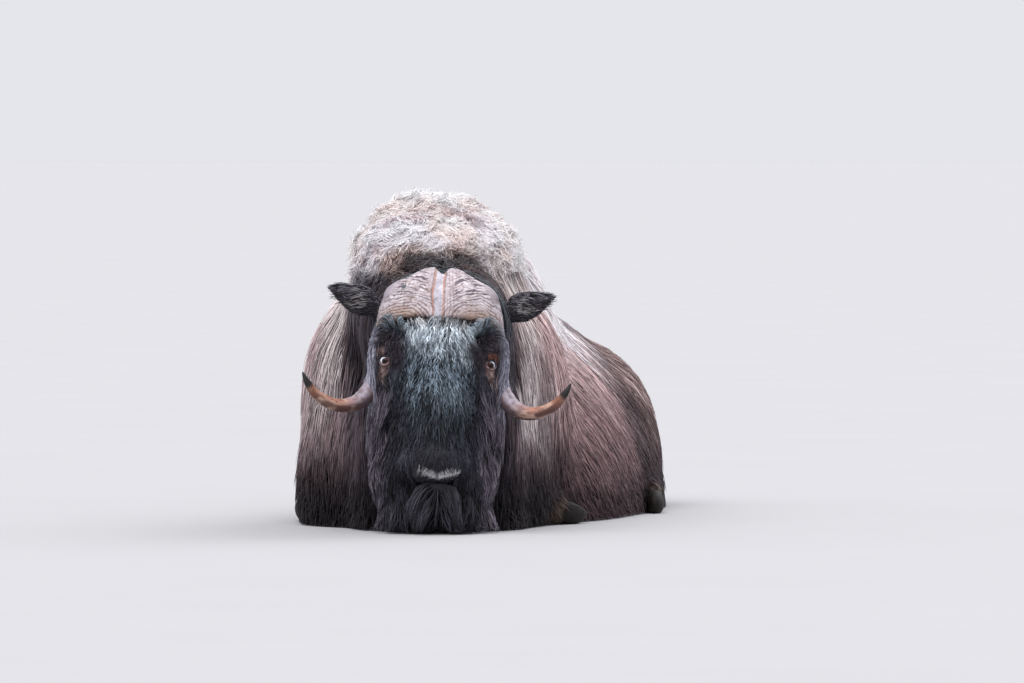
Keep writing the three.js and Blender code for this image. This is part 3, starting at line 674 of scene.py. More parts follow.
# ------------------------------------------------------------------ locks of hair
def tubes(name, paths, widths, normals, root_colour, tip_colour, uv_root, flat=0.42):
    """Closed three-sided tapered locks. paths (n, k, 3), widths (n, k); the last point of a path is the tip."""
    n, k, _ = paths.shape
    along = np.empty_like(paths)
    along[:, 1:-1] = paths[:, 2:] - paths[:, :-2]
    along[:, 0] = paths[:, 1] - paths[:, 0]
    along[:, -1] = paths[:, -1] - paths[:, -2]
    reach = np.linalg.norm(paths[:, 1:] - paths[:, :-1], axis=-1).sum(1)
    along = unit(along)
    out = unit(normals - (normals * along).sum(-1, keepdims=True) * along)
    side = np.cross(along, out)
    w = widths[:, : k - 1, None] * 0.5
    p, s, o = paths[:, : k - 1], side[:, : k - 1], out[:, : k - 1]
    ring = np.stack([p - s * w - o * w * flat * 0.6, p + s * w - o * w * flat * 0.6, p + o * w * flat * 1.6], 2)
    points = np.concatenate([ring.reshape(n, -1, 3), paths[:, -1:, :]], 1)
    per = 3 * (k - 1) + 1
    quads, tris = [], []
    for i in range(k - 2):
        for j in range(3):
            a, b = 3 * i + j, 3 * i + (j + 1) % 3
            quads.append([a, b, b + 3, a + 3])
    last = 3 * (k - 2)
    for j in range(3):
        tris.append([last + j, last + (j + 1) % 3, per - 1])
    tris.append([2, 1, 0])
    offset = (np.arange(n) * per)[:, None, None]
    quads = (np.array(quads)[None] + offset).reshape(-1, 4)
    tris = (np.array(tris)[None] + offset).reshape(-1, 3)
    t = np.concatenate([np.repeat(np.linspace(0, 1, k)[: k - 1], 3), [1.0]]).astype(F)
    colour = root_colour[:, None] + (tip_colour - root_colour)[:, None] * t[None, :, None]
    across = np.concatenate([np.tile([0.0, 1.0, 0.5], k - 1), [0.5]]).astype(F)
    centre = np.stack([across * 2 - 1, t * 2 - 1], -1)
    uv = uv_root[:, None] + centre[None] * 0.0014
    strand = np.empty((n, per, 3), F)
    strand[..., 0] = across * widths.max(1)[:, None] * 0.9
    strand[..., 1] = t * reach[:, None] / 42
    strand[..., 2] = _TABLE[np.arange(n) % len(_TABLE)][:, None] * 60
    attributes = {"hair_tint": colour.reshape(-1, 3), "along": np.tile(t, n), "strand_vec": strand.reshape(-1, 3)}
    return make_mesh(name, world(points.reshape(-1, 3)), [quads, tris], attributes, uv.reshape(-1, 2))


def scatter(points, faces, weight, spacing, seed):
    """Even random roots on a mesh, where weight is more than a random number. Returns points."""
    rng = np.random.default_rng(seed)
    a, b, c, d = (points[faces[:, i]] for i in range(4))
    tri = np.concatenate([np.stack([a, b, c], 1), np.stack([a, c, d], 1)])
    area = np.linalg.norm(np.cross(tri[:, 1] - tri[:, 0], tri[:, 2] - tri[:, 0]), axis=1) / 2
    w = np.concatenate([weight[faces].mean(1)] * 2)
    tri, area = tri[w > 0.02], area[w > 0.02]
    w = w[w > 0.02]
    many = area * 3.2 / spacing**2
    count = (many + rng.random(len(many))).astype(int)
    index = np.repeat(np.arange(len(tri)), count)
    u, v = rng.random(len(index)), rng.random(len(index))
    over = u + v > 1
    u[over], v[over] = 1 - u[over], 1 - v[over]
    t = tri[index]
    p = (t[:, 0] + (t[:, 1] - t[:, 0]) * u[:, None] + (t[:, 2] - t[:, 0]) * v[:, None]).astype(F)
    order = rng.permutation(len(p))
    p, index = p[order], index[order]
    cell = np.floor(p / (spacing * 1.0)).astype(np.int64)
    key = (cell[:, 0] * 73856093) ^ (cell[:, 1] * 19349663) ^ (cell[:, 2] * 83492791)
    _, first = np.unique(key, return_index=True)
    p, ww = p[first], w[index[first]]
    keep = rng.random(len(p)) < ww
    return p[keep]


def grow(roots, length, k, form, flow, level, lift=0.8, free=None):
    """Paths from roots along a flow over the iso-levels of form. Where free is 1 a path leaves the form and hangs.
    Returns paths and the outward normals on them."""
    p = roots.copy()
    n = gradient(form, p)
    paths, normals = [p], [n]
    step = (length / (k - 1))[:, None]
    d = None
    for i in range(1, k):
        v = flow(p, n, i / (k - 1))
        loose = free(p)[:, None] if free else 0.0
        v = unit(v - (v * n).sum(-1, keepdims=True) * n * (1 - loose))
        d = v if d is None else unit(0.6 * v + 0.4 * d)
        p = p + d * step
        n = unit(gradient(form, p) * (1 - 0.6 * loose) + normals[0] * 0.6 * loose)
        target = level(i / (k - 1))
        p = p + n * ((target - form(p)) * lift)[:, None] * (1 - loose)
        p[:, 2] = np.maximum(p[:, 2], 3.5)
        paths.append(p)
        normals.append(n)
    return np.stack(paths, 1), np.stack(normals, 1)


def clump(paths, size, amount, seed, power=1.6):
    """Draws the locks whose roots share a cell towards one of them, more towards their tips."""
    rng = np.random.default_rng(seed)
    jitter = rng.random(3).astype(F) * size
    cell = np.floor((paths[:, 0] + jitter + 0.35 * size * noise3(paths[:, 0], size * 1.3, seed)) / size).astype(np.int64)
    key = (cell[:, 0] * 73856093) ^ (cell[:, 1] * 19349663) ^ (cell[:, 2] * 83492791)
    _, first, inverse = np.unique(key, return_index=True, return_inverse=True)
    inverse = inverse.reshape(-1)
    lead = paths[first][inverse]
    t = np.linspace(0, 1, paths.shape[1]).astype(F) ** power
    amount = np.asarray(amount, F)
    amount = amount[:, None, None] if amount.ndim else amount
    spread = lead - lead[:, :1] + paths[:, :1]
    pulled = lead + (paths - lead) * 0.12
    new = paths + (pulled - paths) * (amount * t[None, :, None])
    return new.astype(F), inverse


def wave(paths, normals, length, amp, wavelength, phase, rise=1.0, out=0.35):
    k = paths.shape[1]
    t = np.linspace(0, 1, k).astype(F)
    along = np.gradient(paths, axis=1)
    side = unit(np.cross(along, normals))
    a = 2 * math.pi * length[:, None] * t[None] / wavelength + phase[:, None]
    env = (amp[:, None] * np.minimum(t[None] * 2.2, 1) ** rise)
    return (paths + side * (np.sin(a) * env)[..., None] + normals * (np.cos(a * 1.13) * env * out)[..., None]).astype(F)


def profile(n, k, width, rng, root=0.75, power=2.4):
    t = np.linspace(0, 1, k).astype(F)
    shape = (root + (1 - root) * np.minimum(t * 4, 1)) * (1 - t**power) ** 0.8
    return width[:, None] * shape[None]


def unwrap(q, lengthwise, wide, low, high):
    """A cylinder's unwrap to the unit square: angle wide, and height between low and high."""
    u = 0.5 + wide / (2 * math.pi) * 0.985
    v = 0.01 + 0.98 * (lengthwise - low) / (high - low)
    return np.stack([np.clip(u, 0.006, 0.994), np.clip(v, 0.006, 0.994)], -1)


def body_unwrap(p):
    return unwrap(p, p[:, 1], np.arctan2(p[:, 0], p[:, 2] - 60 + 0.0), -1000, 960)


def front_unwrap(p):
    """The neck and mane, wrapped about an upright axis."""
    return unwrap(p, p[:, 2], np.arctan2(p[:, 0] - 60, -(p[:, 1] + 500)), 0, 900)


def head_unwrap(p):
    h = to_head(p)
    return unwrap(p, h[:, 1], np.arctan2(h[:, 0], h[:, 2] + 110), -400, 220)


# ------------------------------------------------------------------ materials
def material(name):
    m = bpy.data.materials.new(name)
    m.use_nodes = True
    nodes, links = m.node_tree.nodes, m.node_tree.links
    nodes.clear()
    out = nodes.new("ShaderNodeOutputMaterial")
    bsdf = nodes.new("ShaderNodeBsdfPrincipled")
    links.new(bsdf.outputs[0], out.inputs[0])
    return m, nodes, links, bsdf


def node(nodes, kind, **values):
    n = nodes.new(kind)
    for key, value in values.items():
        if key.startswith("in_"):
            name = key[3:]
            n.inputs[int(name) if name.isdigit() else name].default_value = value
        else:
            setattr(n, key, value)
    return n


def attribute(nodes, name):
    return node(nodes, "ShaderNodeAttribute", attribute_name=name, attribute_type="GEOMETRY")


def ramp_node(nodes, stops):
    n = nodes.new("ShaderNodeValToRGB")
    e = n.color_ramp.elements
    while len(e) < len(stops):
        e.new(0.5)
    for item, (pos, col) in zip(e, stops):
        item.position = pos
        item.color = (*[float(x) for x in col], 1)
    return n


def hair_material(name, rough=0.6, sheen=0.1, low=0.48, high=1.42, root_shade_level=0.55):
    m, nodes, links, bsdf = material(name)
    tint = attribute(nodes, "hair_tint")
    strand = attribute(nodes, "strand_vec")
    tex = node(nodes, "ShaderNodeTexNoise", in_Scale=1.0, in_Detail=2.0, in_Roughness=0.5)
    links.new(strand.outputs["Vector"], tex.inputs["Vector"])
    r = ramp_node(nodes, [(0.30, (low,) * 3), (0.52, (1.0,) * 3), (0.72, (high,) * 3)])
    links.new(tex.outputs["Fac"], r.inputs["Fac"])
    mul = node(nodes, "ShaderNodeMix", data_type="RGBA", blend_type="MULTIPLY")
    mul.inputs["Factor"].default_value = 1.0
    links.new(tint.outputs["Color"], mul.inputs[6])
    links.new(r.outputs["Color"], mul.inputs[7])
    # Painted shade: each lock darker towards its root, deep in the coat.
    along = attribute(nodes, "along")
    dark = ramp_node(nodes, [(0.0, (root_shade_level,) * 3), (0.25, (1.0,) * 3)])
    links.new(along.outputs["Fac"], dark.inputs["Fac"])
    mul2 = node(nodes, "ShaderNodeMix", data_type="RGBA", blend_type="MULTIPLY")
    mul2.inputs["Factor"].default_value = 1.0
    links.new(mul.outputs[2], mul2.inputs[6])
    links.new(dark.outputs["Color"], mul2.inputs[7])
    links.new(mul2.outputs[2], bsdf.inputs["Base Color"])
    bump = node(nodes, "ShaderNodeBump", in_Strength=0.4, in_Distance=0.001)
    links.new(tex.outputs["Fac"], bump.inputs["Height"])
    links.new(bump.outputs[0], bsdf.inputs["Normal"])
    bsdf.inputs["Roughness"].default_value = rough
    bsdf.inputs["Specular IOR Level"].default_value = 0.25
    bsdf.inputs["Sheen Weight"].default_value = sheen
    bsdf.inputs["Sheen Roughness"].default_value = 0.5
    bsdf.inputs["Sheen Tint"].default_value = (0.9, 0.9, 1.0, 1)
    return m


def skin_material():
    m, nodes, links, bsdf = material("skin")
    tint = attribute(nodes, "hair_tint")
    co = nodes.new("ShaderNodeTexCoord")
    tex = node(nodes, "ShaderNodeTexNoise", in_Scale=160.0, in_Detail=6.0, in_Roughness=0.7)
    links.new(co.outputs["Object"], tex.inputs["Vector"])
    r = ramp_node(nodes, [(0.25, (0.55,) * 3), (0.75, (1.2,) * 3)])
    links.new(tex.outputs["Fac"], r.inputs["Fac"])
    mul = node(nodes, "ShaderNodeMix", data_type="RGBA", blend_type="MULTIPLY")
    mul.inputs["Factor"].default_value = 1.0
    links.new(tint.outputs["Color"], mul.inputs[6])
    links.new(r.outputs["Color"], mul.inputs[7])
    links.new(mul.outputs[2], bsdf.inputs["Base Color"])
    wet = attribute(nodes, "wet")
    rr = ramp_node(nodes, [(0.0, (0.85,) * 3), (1.0, (0.32,) * 3)])
    links.new(wet.outputs["Fac"], rr.inputs["Fac"])
    links.new(rr.outputs["Color"], bsdf.inputs["Roughness"])
    bump = node(nodes, "ShaderNodeBump", in_Strength=0.5, in_Distance=0.002)
    links.new(tex.outputs["Fac"], bump.inputs["Height"])
    links.new(bump.outputs[0], bsdf.inputs["Normal"])
    bsdf.inputs["Specular IOR Level"].default_value = 0.3
    return m


def attach(obj, mat, slot, *replaced):
    obj.data.materials.clear()
    obj.data.materials.append(mat)
    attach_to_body(obj, "root")
    if replaced:
        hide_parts(*replaced)
    return obj


# ------------------------------------------------------------------ build: skin
import time

T0 = time.time()


def lap(what):
    print("%6.1f s  %s" % (time.time() - T0, what))


_far = from_head([[a, b, c] for a in (-345, 345) for b in (-395, 255) for c in (-170, 95)])
xs = graded(-480, 490, 17, [(-145, 445, 6.7), (2, 52, 2.5), (248, 300, 2.5)])
ys = graded(-1230, 1000, 17, [(-1190, -820, 6.7), (-1062, -940, 3.6)])
zs = graded(-14, 900, 17, [(30, 700, 7.0), (394, 458, 2.5), (104, 200, 5.0)])
skin_points, skin_faces = surface(skin, xs, ys, zs)
lap("skin %d points, grid %d x %d x %d" % (len(skin_points), len(xs), len(ys), len(zs)))
skin_tint = skin_colour(skin_points)
e_ = eye_frame(to_head(skin_points))
wet_ = ramp((3.0 - eye_open(e_)) / 1.5) * (np.linalg.norm(e_, axis=1) < 30)
h_ = mirrored(to_head(skin_points))
wet_ = np.maximum(wet_, 0.8 * ramp((1.05 - np.hypot(h_[:, 0] / 46, (h_[:, 1] + 246) / 22)) / 0.25) * (h_[:, 2] > 24))
skin_obj = make_mesh("skin", world(skin_points), skin_faces, {"hair_tint": skin_tint, "wet": wet_})
attach(
    skin_obj, skin_material(), "coat",
    "trunk", "neck", "head", "tail", "foreleg_left", "foreleg_right", "hindleg_left", "hindleg_right", "ear_left", "ear_right",
)
lap("skin made")

# ------------------------------------------------------------------ build: coat
HAIR = hair_material("coat_hair")
FACE_HAIR = hair_material("coat_face_hair", 0.55, 0.05, 0.5, 1.45, 0.55)
FLEECE = hair_material("coat_wool", 0.9, 0.5, 0.82, 1.10, 0.86)
GRAVITY = np.array([0, 0, -1], F)


def body_flow(p, n, t):
    """The lie of the long coat: down and back over the sides, and straight down over the mane."""
    x, y, z = p[:, 0], p[:, 1], p[:, 2]
    v = np.zeros_like(p)
    v[:, 2] = -1
    back = 0.80 * ramp((y + 560) / 260)
    v[:, 1] += back * (1 - 0.45 * ramp((260 - z) / 240))
    # Along the spine behind the hump the hair lies straight back, so that the two sides close over each other.
    spine = 0.92 * ramp((78 - np.abs(x)) / 66) * ramp((y + 130) / 170)
    v[:, 0] += 0.30 * np.sign(x) * ramp((z - 420) / 200) * (1 - spine)
    v[:, 1] -= 0.22 * ramp((-600 - y) / 120)
    top = ramp((np.abs(n[:, 2]) - 0.75) / 0.25)
    v[:, 0] += 1.1 * top * np.where(x >= 0, 1, -1) * (1 - spine)
    v[:, 1] += 0.9 * top * spine
    v += 0.13 * noise3(p, 260, 51) + 0.10 * noise3(p, 55, 61)
    return v


def wool_flow(p, n, t):
    v = np.zeros_like(p)
    v[:, 2] = -0.8
    v[:, 1] = -0.25 * ramp((-350 - p[:, 1]) / 150)
    v += 2.2 * noise3(p, 24, 71) + 0.8 * noise3(p, 85, 81)
    return v


def head_flow(p, n, t):
    h = to_head(p)
    a, b = h[:, 0], h[:, 1]
    v = np.zeros_like(h)
    v[:, 1] = -1
    v[:, 0] = np.sign(a) * (0.10 + 0.40 * ramp((b - 30) / 70) * ramp(np.abs(a) / 60)) * ramp(np.abs(a) / 20)
    v[:, 0] -= np.sign(a) * 0.25 * ramp((-230 - b) / 60) * ramp((120 - np.abs(a)) / 60)
    chin = ramp((-255 - b) / 25)
    turned = nose_turn(h)[:, 0]
    v[:, 0] += np.sign(turned) * 0.6 * ramp((66 - np.abs(turned)) / 30) * ramp(np.abs(turned) / 12) * chin
    v += (0.42 + 0.30 * chin)[:, None] * noise3(h, (24, 34, 26), 91) + 0.2 * noise3(h, 60, 95)
    return v @ AXES


def vertex_masks():
    p = skin_points
    h = to_head(p)
    fb, fh = body(p) + body_depth(p), head_skin(p)
    on_head = (fh < fb + 4) & (h[:, 2] > -150) & (p[:, 1] < -700)
    ear = ear_skin(p) < 3
    boss = (boss_form(h) < 6) & (h[:, 1] > 98 - 0.12 * np.abs(h[:, 0])) & (h[:, 2] > -140)
    wool = wool_mask(p)
    under = p[:, 2] < 9
    return p, h, on_head & ~ear, ear, boss, wool, under


P_, H_, ON_HEAD, ON_EAR, ON_BOSS, WOOL, UNDER = vertex_masks()
BODY = (~ON_HEAD & ~ON_EAR & ~UNDER & ~ON_BOSS).astype(F)


def beam_distance(h):
    m = mirrored(h)
    d = np.full(len(m), 1e3, F)
    for a, b in zip(BEAM[:-1], BEAM[1:]):
        d = np.minimum(d, cone(m, a[:3], a[3], b[:3], b[3]))
    return d


def clear_of_horns(paths, amount=1.0):
    """Pushes the points of paths out of the horns and the boss."""
    shape = paths.shape
    h = to_head(paths.reshape(-1, 3))
    for _ in range(2):
        for f, low in ((lambda q: boss_on(q), 1.5), (beam_distance, 2.0)):
            d = f(h)
            hit = d < low
            if hit.any():
                q = h[hit]
                g = gradient(f, q)
                h[hit] = q + g * (low - d[hit])[:, None] * amount
    return from_head(h).reshape(shape).astype(F)


def boss_on(h):
    """The boss as hair meets it: full size above its lower edge, and shrinking below."""
    return boss_form(h) + 34 * ramp((98 - h[..., 1]) / 34)


def coat_form(p):
    """The body with the legs and the tail, which the long hair hangs over."""
    d = join(body(p), chain(p, FORELEG, 0), 24)
    d = join(d, chain(p, HINDLEG, 0), 24)
    return join(d, cone(p, (0, 702, 414), 36, TAIL[2], TAIL[3]), 40)


coat = []


def finish_piece(obj, slot, count, k, mat=None):
    attach(obj, mat or HAIR, slot)
    coat.append(obj)
    lap("%s: %d locks, %d triangles" % (obj.name, count, count * (6 * (k - 2) + 4)))


def long_coat(name, weight, spacing, seed, lengths, width, unwrap_with=body_unwrap, k=6, clump_size=30, clumped=0.55, amp=2.6):
    """Long guard hair: each lock comes up through the coat and then lies along it."""
    roots = scatter(skin_points, skin_faces, weight, spacing, seed)
    rng = np.random.default_rng(seed + 1)
    n = len(roots)
    length = lengths(roots, rng)
    depth0 = coat_form(roots)
    stray = (rng.random(n) < 0.06) * 6.0 * rng.random(n)
    top = (-13 + 14 * rng.random(n) ** 1.2).astype(F)
    level = lambda t: depth0 + (top - depth0) * min(1.0, t * 2.6) ** 0.7 + ((2.5 + stray) * t * t).astype(F)
    paths, normals = grow(roots, length, k, coat_form, body_flow, level)
    paths, group = clump(paths, clump_size, clumped * (0.4 + 0.6 * rng.random(n)), seed, 1.3)
    shared = np.random.default_rng(seed + 2).random(group.max() + 1).astype(F)
    phase = (shared[group] * 19 + rng.random(n) * 1.2).astype(F)
    paths = wave(paths, normals, length, (amp * (0.4 + 1.2 * rng.random(n))).astype(F), 150.0, phase)
    paths[:, :, 2] = np.maximum(paths[:, :, 2], 3.0)
    paths = clear_of_horns(paths)
    r = np.clip(0.6 * rng.random(n) + 0.4 * shared[group], 0, 1).astype(F)
    # Each lock's root colour is painted darker, as shade deep in the coat.
    root_c = body_colour(roots, r) * 0.7
    tip_c = body_colour(paths[:, int(k * 0.55)], r) * 1.15
    w = profile(n, k, (width * (0.55 + 0.9 * rng.random(n))).astype(F), rng)
    obj = tubes(name, paths, w, normals, root_c, tip_c, unwrap_with(roots), flat=0.5)
    finish_piece(obj, "coat", n, k)


def flank_length(p, rng):
    most = np.minimum(np.clip(p[:, 2] * 0.72, 70, 300), p[:, 2] * 1.1 + 14)
    return (most * (0.7 + 0.45 * rng.random(len(p)))).astype(F)


def mane_length(p, rng):
    most = np.minimum(np.clip(p[:, 2] * 0.62, 60, 230), p[:, 2] * 1.1 + 14)
    return (most * (0.65 + 0.5 * rng.random(len(p)))).astype(F)


LEG = ((body(P_) > -14) & (P_[:, 1] > -720) & (P_[:, 2] < 260) & ~ON_HEAD).astype(F)
LONG = BODY * (1 - WOOL) * (1 - LEG)
left, right = (P_[:, 0] >= 0).astype(F), (P_[:, 0] < 0).astype(F)
mid, rear, fore = ((P_[:, 1] >= -380) & (P_[:, 1] < 330)).astype(F), (P_[:, 1] >= 330).astype(F), (P_[:, 1] < -380).astype(F)
long_coat("coat_flank_left", LONG * left * mid, 11.7, 101, flank_length, 4.0)
long_coat("coat_flank_right", LONG * right * mid, 11.8, 111, flank_length, 4.4)
long_coat("coat_rump_left", LONG * left * rear, 11.4, 121, flank_length, 4.2)
long_coat("coat_rump_right", LONG * right * rear, 12.0, 131, flank_length, 4.5)
long_coat("coat_mane_left", LONG * left * fore, 9.4, 141, mane_length, 3.4, unwrap_with=front_unwrap, clump_size=22)
long_coat("coat_mane_right", LONG * right * fore, 9.9, 151, mane_length, 3.4, unwrap_with=front_unwrap, clump_size=22)


def leg_hair():
    roots = scatter(skin_points, skin_faces, LEG, 5.4, 251)
    rng = np.random.default_rng(252)
    n, k = len(roots), 4
    if not n:
        return
    nrm = gradient(skin, roots)
    d = np.array([0, 0.15, -1], F) + 0.5 * noise3(roots, 30, 253)
    d = unit(d - 0.85 * (d * nrm).sum(-1, keepdims=True) * nrm)
    length = (26 + 20 * rng.random(n)).astype(F)
    t = np.linspace(0, 1, k).astype(F)
    paths = roots[:, None] + d[:, None] * (length[:, None] * t)[..., None] + nrm[:, None] * (7.0 * np.sin(t * 2.0))[None, :, None]
    paths[:, :, 2] = np.maximum(paths[:, :, 2], 2.0)
    r = rng.random(n).astype(F)
    c = mix(srgb(70, 56, 50) + 0 * roots, srgb(138, 120, 104), r)
    w = profile(n, k, (2.6 * (0.6 + 0.8 * rng.random(n))).astype(F), rng)
    # Root colour painted darker, as shade in the coat.
    obj = tubes("coat_legs", paths.astype(F), w, np.repeat(nrm[:, None], k, 1), c * 0.6, c, body_unwrap(roots))
    finish_piece(obj, "leg", n, k)


leg_hair()


def wool_piece(name, weight, spacing, seed, unwrap_with):
    """Matted underwool that has come up through the coat: short curled tufts over the billows."""
    roots = scatter(skin_points, skin_faces, weight, spacing, seed)
    rng = np.random.default_rng(seed + 1)
    n, k = len(roots), 5
    length = (20 + 26 * rng.random(n)).astype(F)
    depth0 = body(roots)
    stray = np.where(rng.random(n) < 0.12, 5 + 9 * rng.random(n), 0)
    top = (np.minimum(depth0 + 7 + 13 * rng.random(n), 4 + 5 * rng.random(n)) + stray).astype(F)
    level = lambda t: depth0 + (top - depth0) * t**0.75
    paths, normals = grow(roots, length, k, body, wool_flow, level)
    paths, group = clump(paths, 13, 0.45 * rng.random(n) + 0.1, seed)
    paths = wave(paths, normals, length, (4.2 * (0.4 + rng.random(n))).astype(F), 17.0, (rng.random(n) * 6.28).astype(F), out=0.9)
    paths = clear_of_horns(paths)
    r = rng.random(n).astype(F)
    root_c = np.minimum(body_colour(roots, r), 0.96)
    tip_c = np.minimum(body_colour(paths[:, 3], r) * 1.12, 0.97)
    w = profile(n, k, (2.5 * (0.5 + 0.9 * rng.random(n))).astype(F), rng)
    obj = tubes(name, paths, w, normals, root_c, tip_c, unwrap_with(roots), flat=0.5)
    finish_piece(obj, "mane", n, k, FLEECE)


HUMP_WOOL = BODY * WOOL
wool_piece("coat_wool_left", HUMP_WOOL * left, 6.1, 161, front_unwrap)
wool_piece("coat_wool_right", HUMP_WOOL * right, 5.9, 171, front_unwrap)


def veil_form(p):
    """The block that the hair of the cheeks hangs over, in front of the roots of the horns."""
    h = to_head(p)
    m = mirrored(h)
    return join(head_form(h), rounded(m[..., 0], m[..., 1] + 130, m[..., 2] + 76, 155 + 9 * ramp((-60 - m[..., 1]) / 90), 200, 74, 3.4, 3.4), 22)


def brow_form(p):
    """The hair that fills the step below the boss, carrying its dome on down to the face."""
    h = to_head(p)
    m = mirrored(h)
    d = join(head_form(h), ellipsoid(m, (106, 79, 20), (56, 40, 50)), 20)
    return join(d, boss_form(m) - 1.5, 14)


def brow_flow(p, n, t):
    """Fluff that starts up behind the edge of the boss, then falls forwards over the face."""
    h = to_head(p)
    v = np.zeros_like(h)
    v[:, 1] = 1.1 if t < 0.3 else -1.0
    v[:, 0] = np.sign(h[:, 0]) * 0.4 * ramp(np.abs(h[:, 0]) / 80)
    v += 0.9 * noise3(h, 18, 191)
    return v @ AXES


def cheek_flow(p, n, t):
    h = to_head(p)
    v = np.zeros_like(h)
    v[:, 1] = -1
    v[:, 0] = np.sign(h[:, 0]) * 0.30 * ramp((166 - np.abs(h[:, 0])) / 40)
    v += 0.16 * noise3(h, (30, 60, 30), 195)
    return v @ AXES


def chin_free(p):
    return ramp((-285 - to_head(p)[:, 1]) / 40)


def face_piece(name, weight, spacing, seed, lengths, width, k, top_out, clump_size, clumped, amp, wavelength, form=head, flow=head_flow, free=None, rise=1.4, under=0.25, tips=1.15, root_shade=0.55):
    roots = scatter(skin_points, skin_faces, weight, spacing, seed)
    h = to_head(roots)
    e = eye_frame(h)
    bare = (eye_open(e) < 3.6) & (e[:, 2] > -4)
    m = mirrored(nose_turn(h))
    mouth = (lip_mask(h) > 0.3) | ((np.hypot(m[:, 0] / 44, (m[:, 1] + 247) / 21) < 1) & (m[:, 2] > 22))
    if "muzzle" not in name:
        roots = roots[~bare & ~mouth]
    rng = np.random.default_rng(seed + 1)
    n = len(roots)
    h = to_head(roots)
    length = lengths(h, rng)
    depth0 = form(roots)
    top = (depth0 * under + top_out * rng.random(n)).astype(F)
    level = lambda t: depth0 + (top - depth0) * min(1.0, t * rise) ** 0.8
    paths, normals = grow(roots, length, k, form, flow, level, free=free)
    paths, group = clump(paths, clump_size, clumped * (0.5 + 0.5 * rng.random(n)), seed)
    paths = wave(paths, normals, length, (amp * (0.4 + rng.random(n))).astype(F), wavelength, (rng.random(n) * 1.5 + group * 2.1).astype(F), out=0.5)
    paths = clear_of_horns(paths)
    # Keep hair off the eyeballs.
    ee = eye_frame(to_head(paths.reshape(-1, 3)))
    hit = (eye_open(ee) < 2.5) & (ee[:, 2] > 0)
    bad = hit.reshape(n, k).any(1)
    paths, normals, roots, h = paths[~bad], normals[~bad], roots[~bad], h[~bad]
    n = len(roots)
    paths[:, :, 2] = np.maximum(paths[:, :, 2], 3.0)
    r = rng.random(n).astype(F)
    lips = 1.0 if "muzzle" in name else 0.0
    # Root colour painted darker, as shade in the coat.
    root_c = head_colour(h, r, lips) * root_shade
    tip_c = head_colour(to_head(paths[:, k // 2]), r, lips) * tips
    w = profile(n, k, (width * (0.55 + 0.9 * rng.random(n))).astype(F), rng)
    obj = tubes(name, paths, w, normals, root_c, tip_c, head_unwrap(roots), flat=0.5)
    finish_piece(obj, "face", n, k, FACE_HAIR)


A_, B_, C_ = np.abs(H_[:, 0]), H_[:, 1], H_[:, 2]
E_ = eye_frame(H_)
ON = (ON_HEAD & ~ON_BOSS & ~UNDER).astype(F)
snout = (np.hypot(A_ / 70, (B_ + 260) / 48) < 1) & (C_ > 0)
eye_near = np.hypot((A_ - 132) / 27, (B_ + 4) / 34) < 1
upper = ON * (B_ > -130) * ~eye_near * ~snout
face_piece("coat_face", upper, 4.4, 201, lambda h, g: (20 + 22 * g.random(len(h)) + 14 * ramp((-h[:, 1]) / 120) - 8 * ramp((np.abs(h[:, 0]) - 80) / 30)).astype(F), 2.2, 5, 5.0, 10, 0.6, 3.0, 28.0)
brow = ON * ramp((B_ - 46 - 10 * ramp((100 - A_) / 30)) / 16) * ~eye_near
face_piece("coat_brow", brow, 3.3, 261, lambda h, g: (38 + 24 * g.random(len(h)) - 12 * ramp((np.abs(h[:, 0]) - 62) / 30)).astype(F), 1.8, 6, 5.0, 8, 0.4, 2.6, 20.0, form=brow_form, flow=brow_flow, under=0.0, rise=1.9, root_shade=0.62)
face_piece("coat_eye_rims", ON * eye_near, 2.8, 211, lambda h, g: (4.5 + 4 * g.random(len(h))).astype(F), 1.0, 4, 0.9, 6, 0.2, 0.4, 20.0, root_shade=0.8)
temple = ON * ((A_ > 104) & (B_ > -125) & (B_ < 70) & (C_ > -120)) * ~eye_near * ramp((np.hypot((A_ - 128) / 42, (B_ + 2) / 52) - 0.75) / 0.2)
face_piece("coat_cheeks", temple, 5.0, 271, lambda h, g: (60 + 60 * g.random(len(h))).astype(F), 2.4, 6, 4.0, 14, 0.5, 2.2, 60.0, form=veil_form, flow=cheek_flow, rise=2.2, under=0.0, root_shade=0.5)
lower = ON * (B_ <= -112) * ~snout * (C_ > -135)
face_piece("coat_beard", lower, 5.6, 221, lambda h, g: ((56 + 50 * g.random(len(h))) * (1 - 0.25 * ramp((-200 - h[:, 1]) / 60) * ramp((70 - np.abs(h[:, 0])) / 20)) + 40 * ramp((-270 - h[:, 1]) / 50)).astype(F), 2.6, 6, 5.0, 18, 0.55, 3.0, 50.0, free=chin_free, under=0.1, root_shade=0.5)
face_piece("coat_muzzle", ON * snout, 3.0, 231, lambda h, g: (8 + 9 * g.random(len(h)) - 4 * lip_mask(h)).astype(F), 1.2, 4, 0.8, 5, 0.1, 0.3, 20.0, root_shade=0.8)


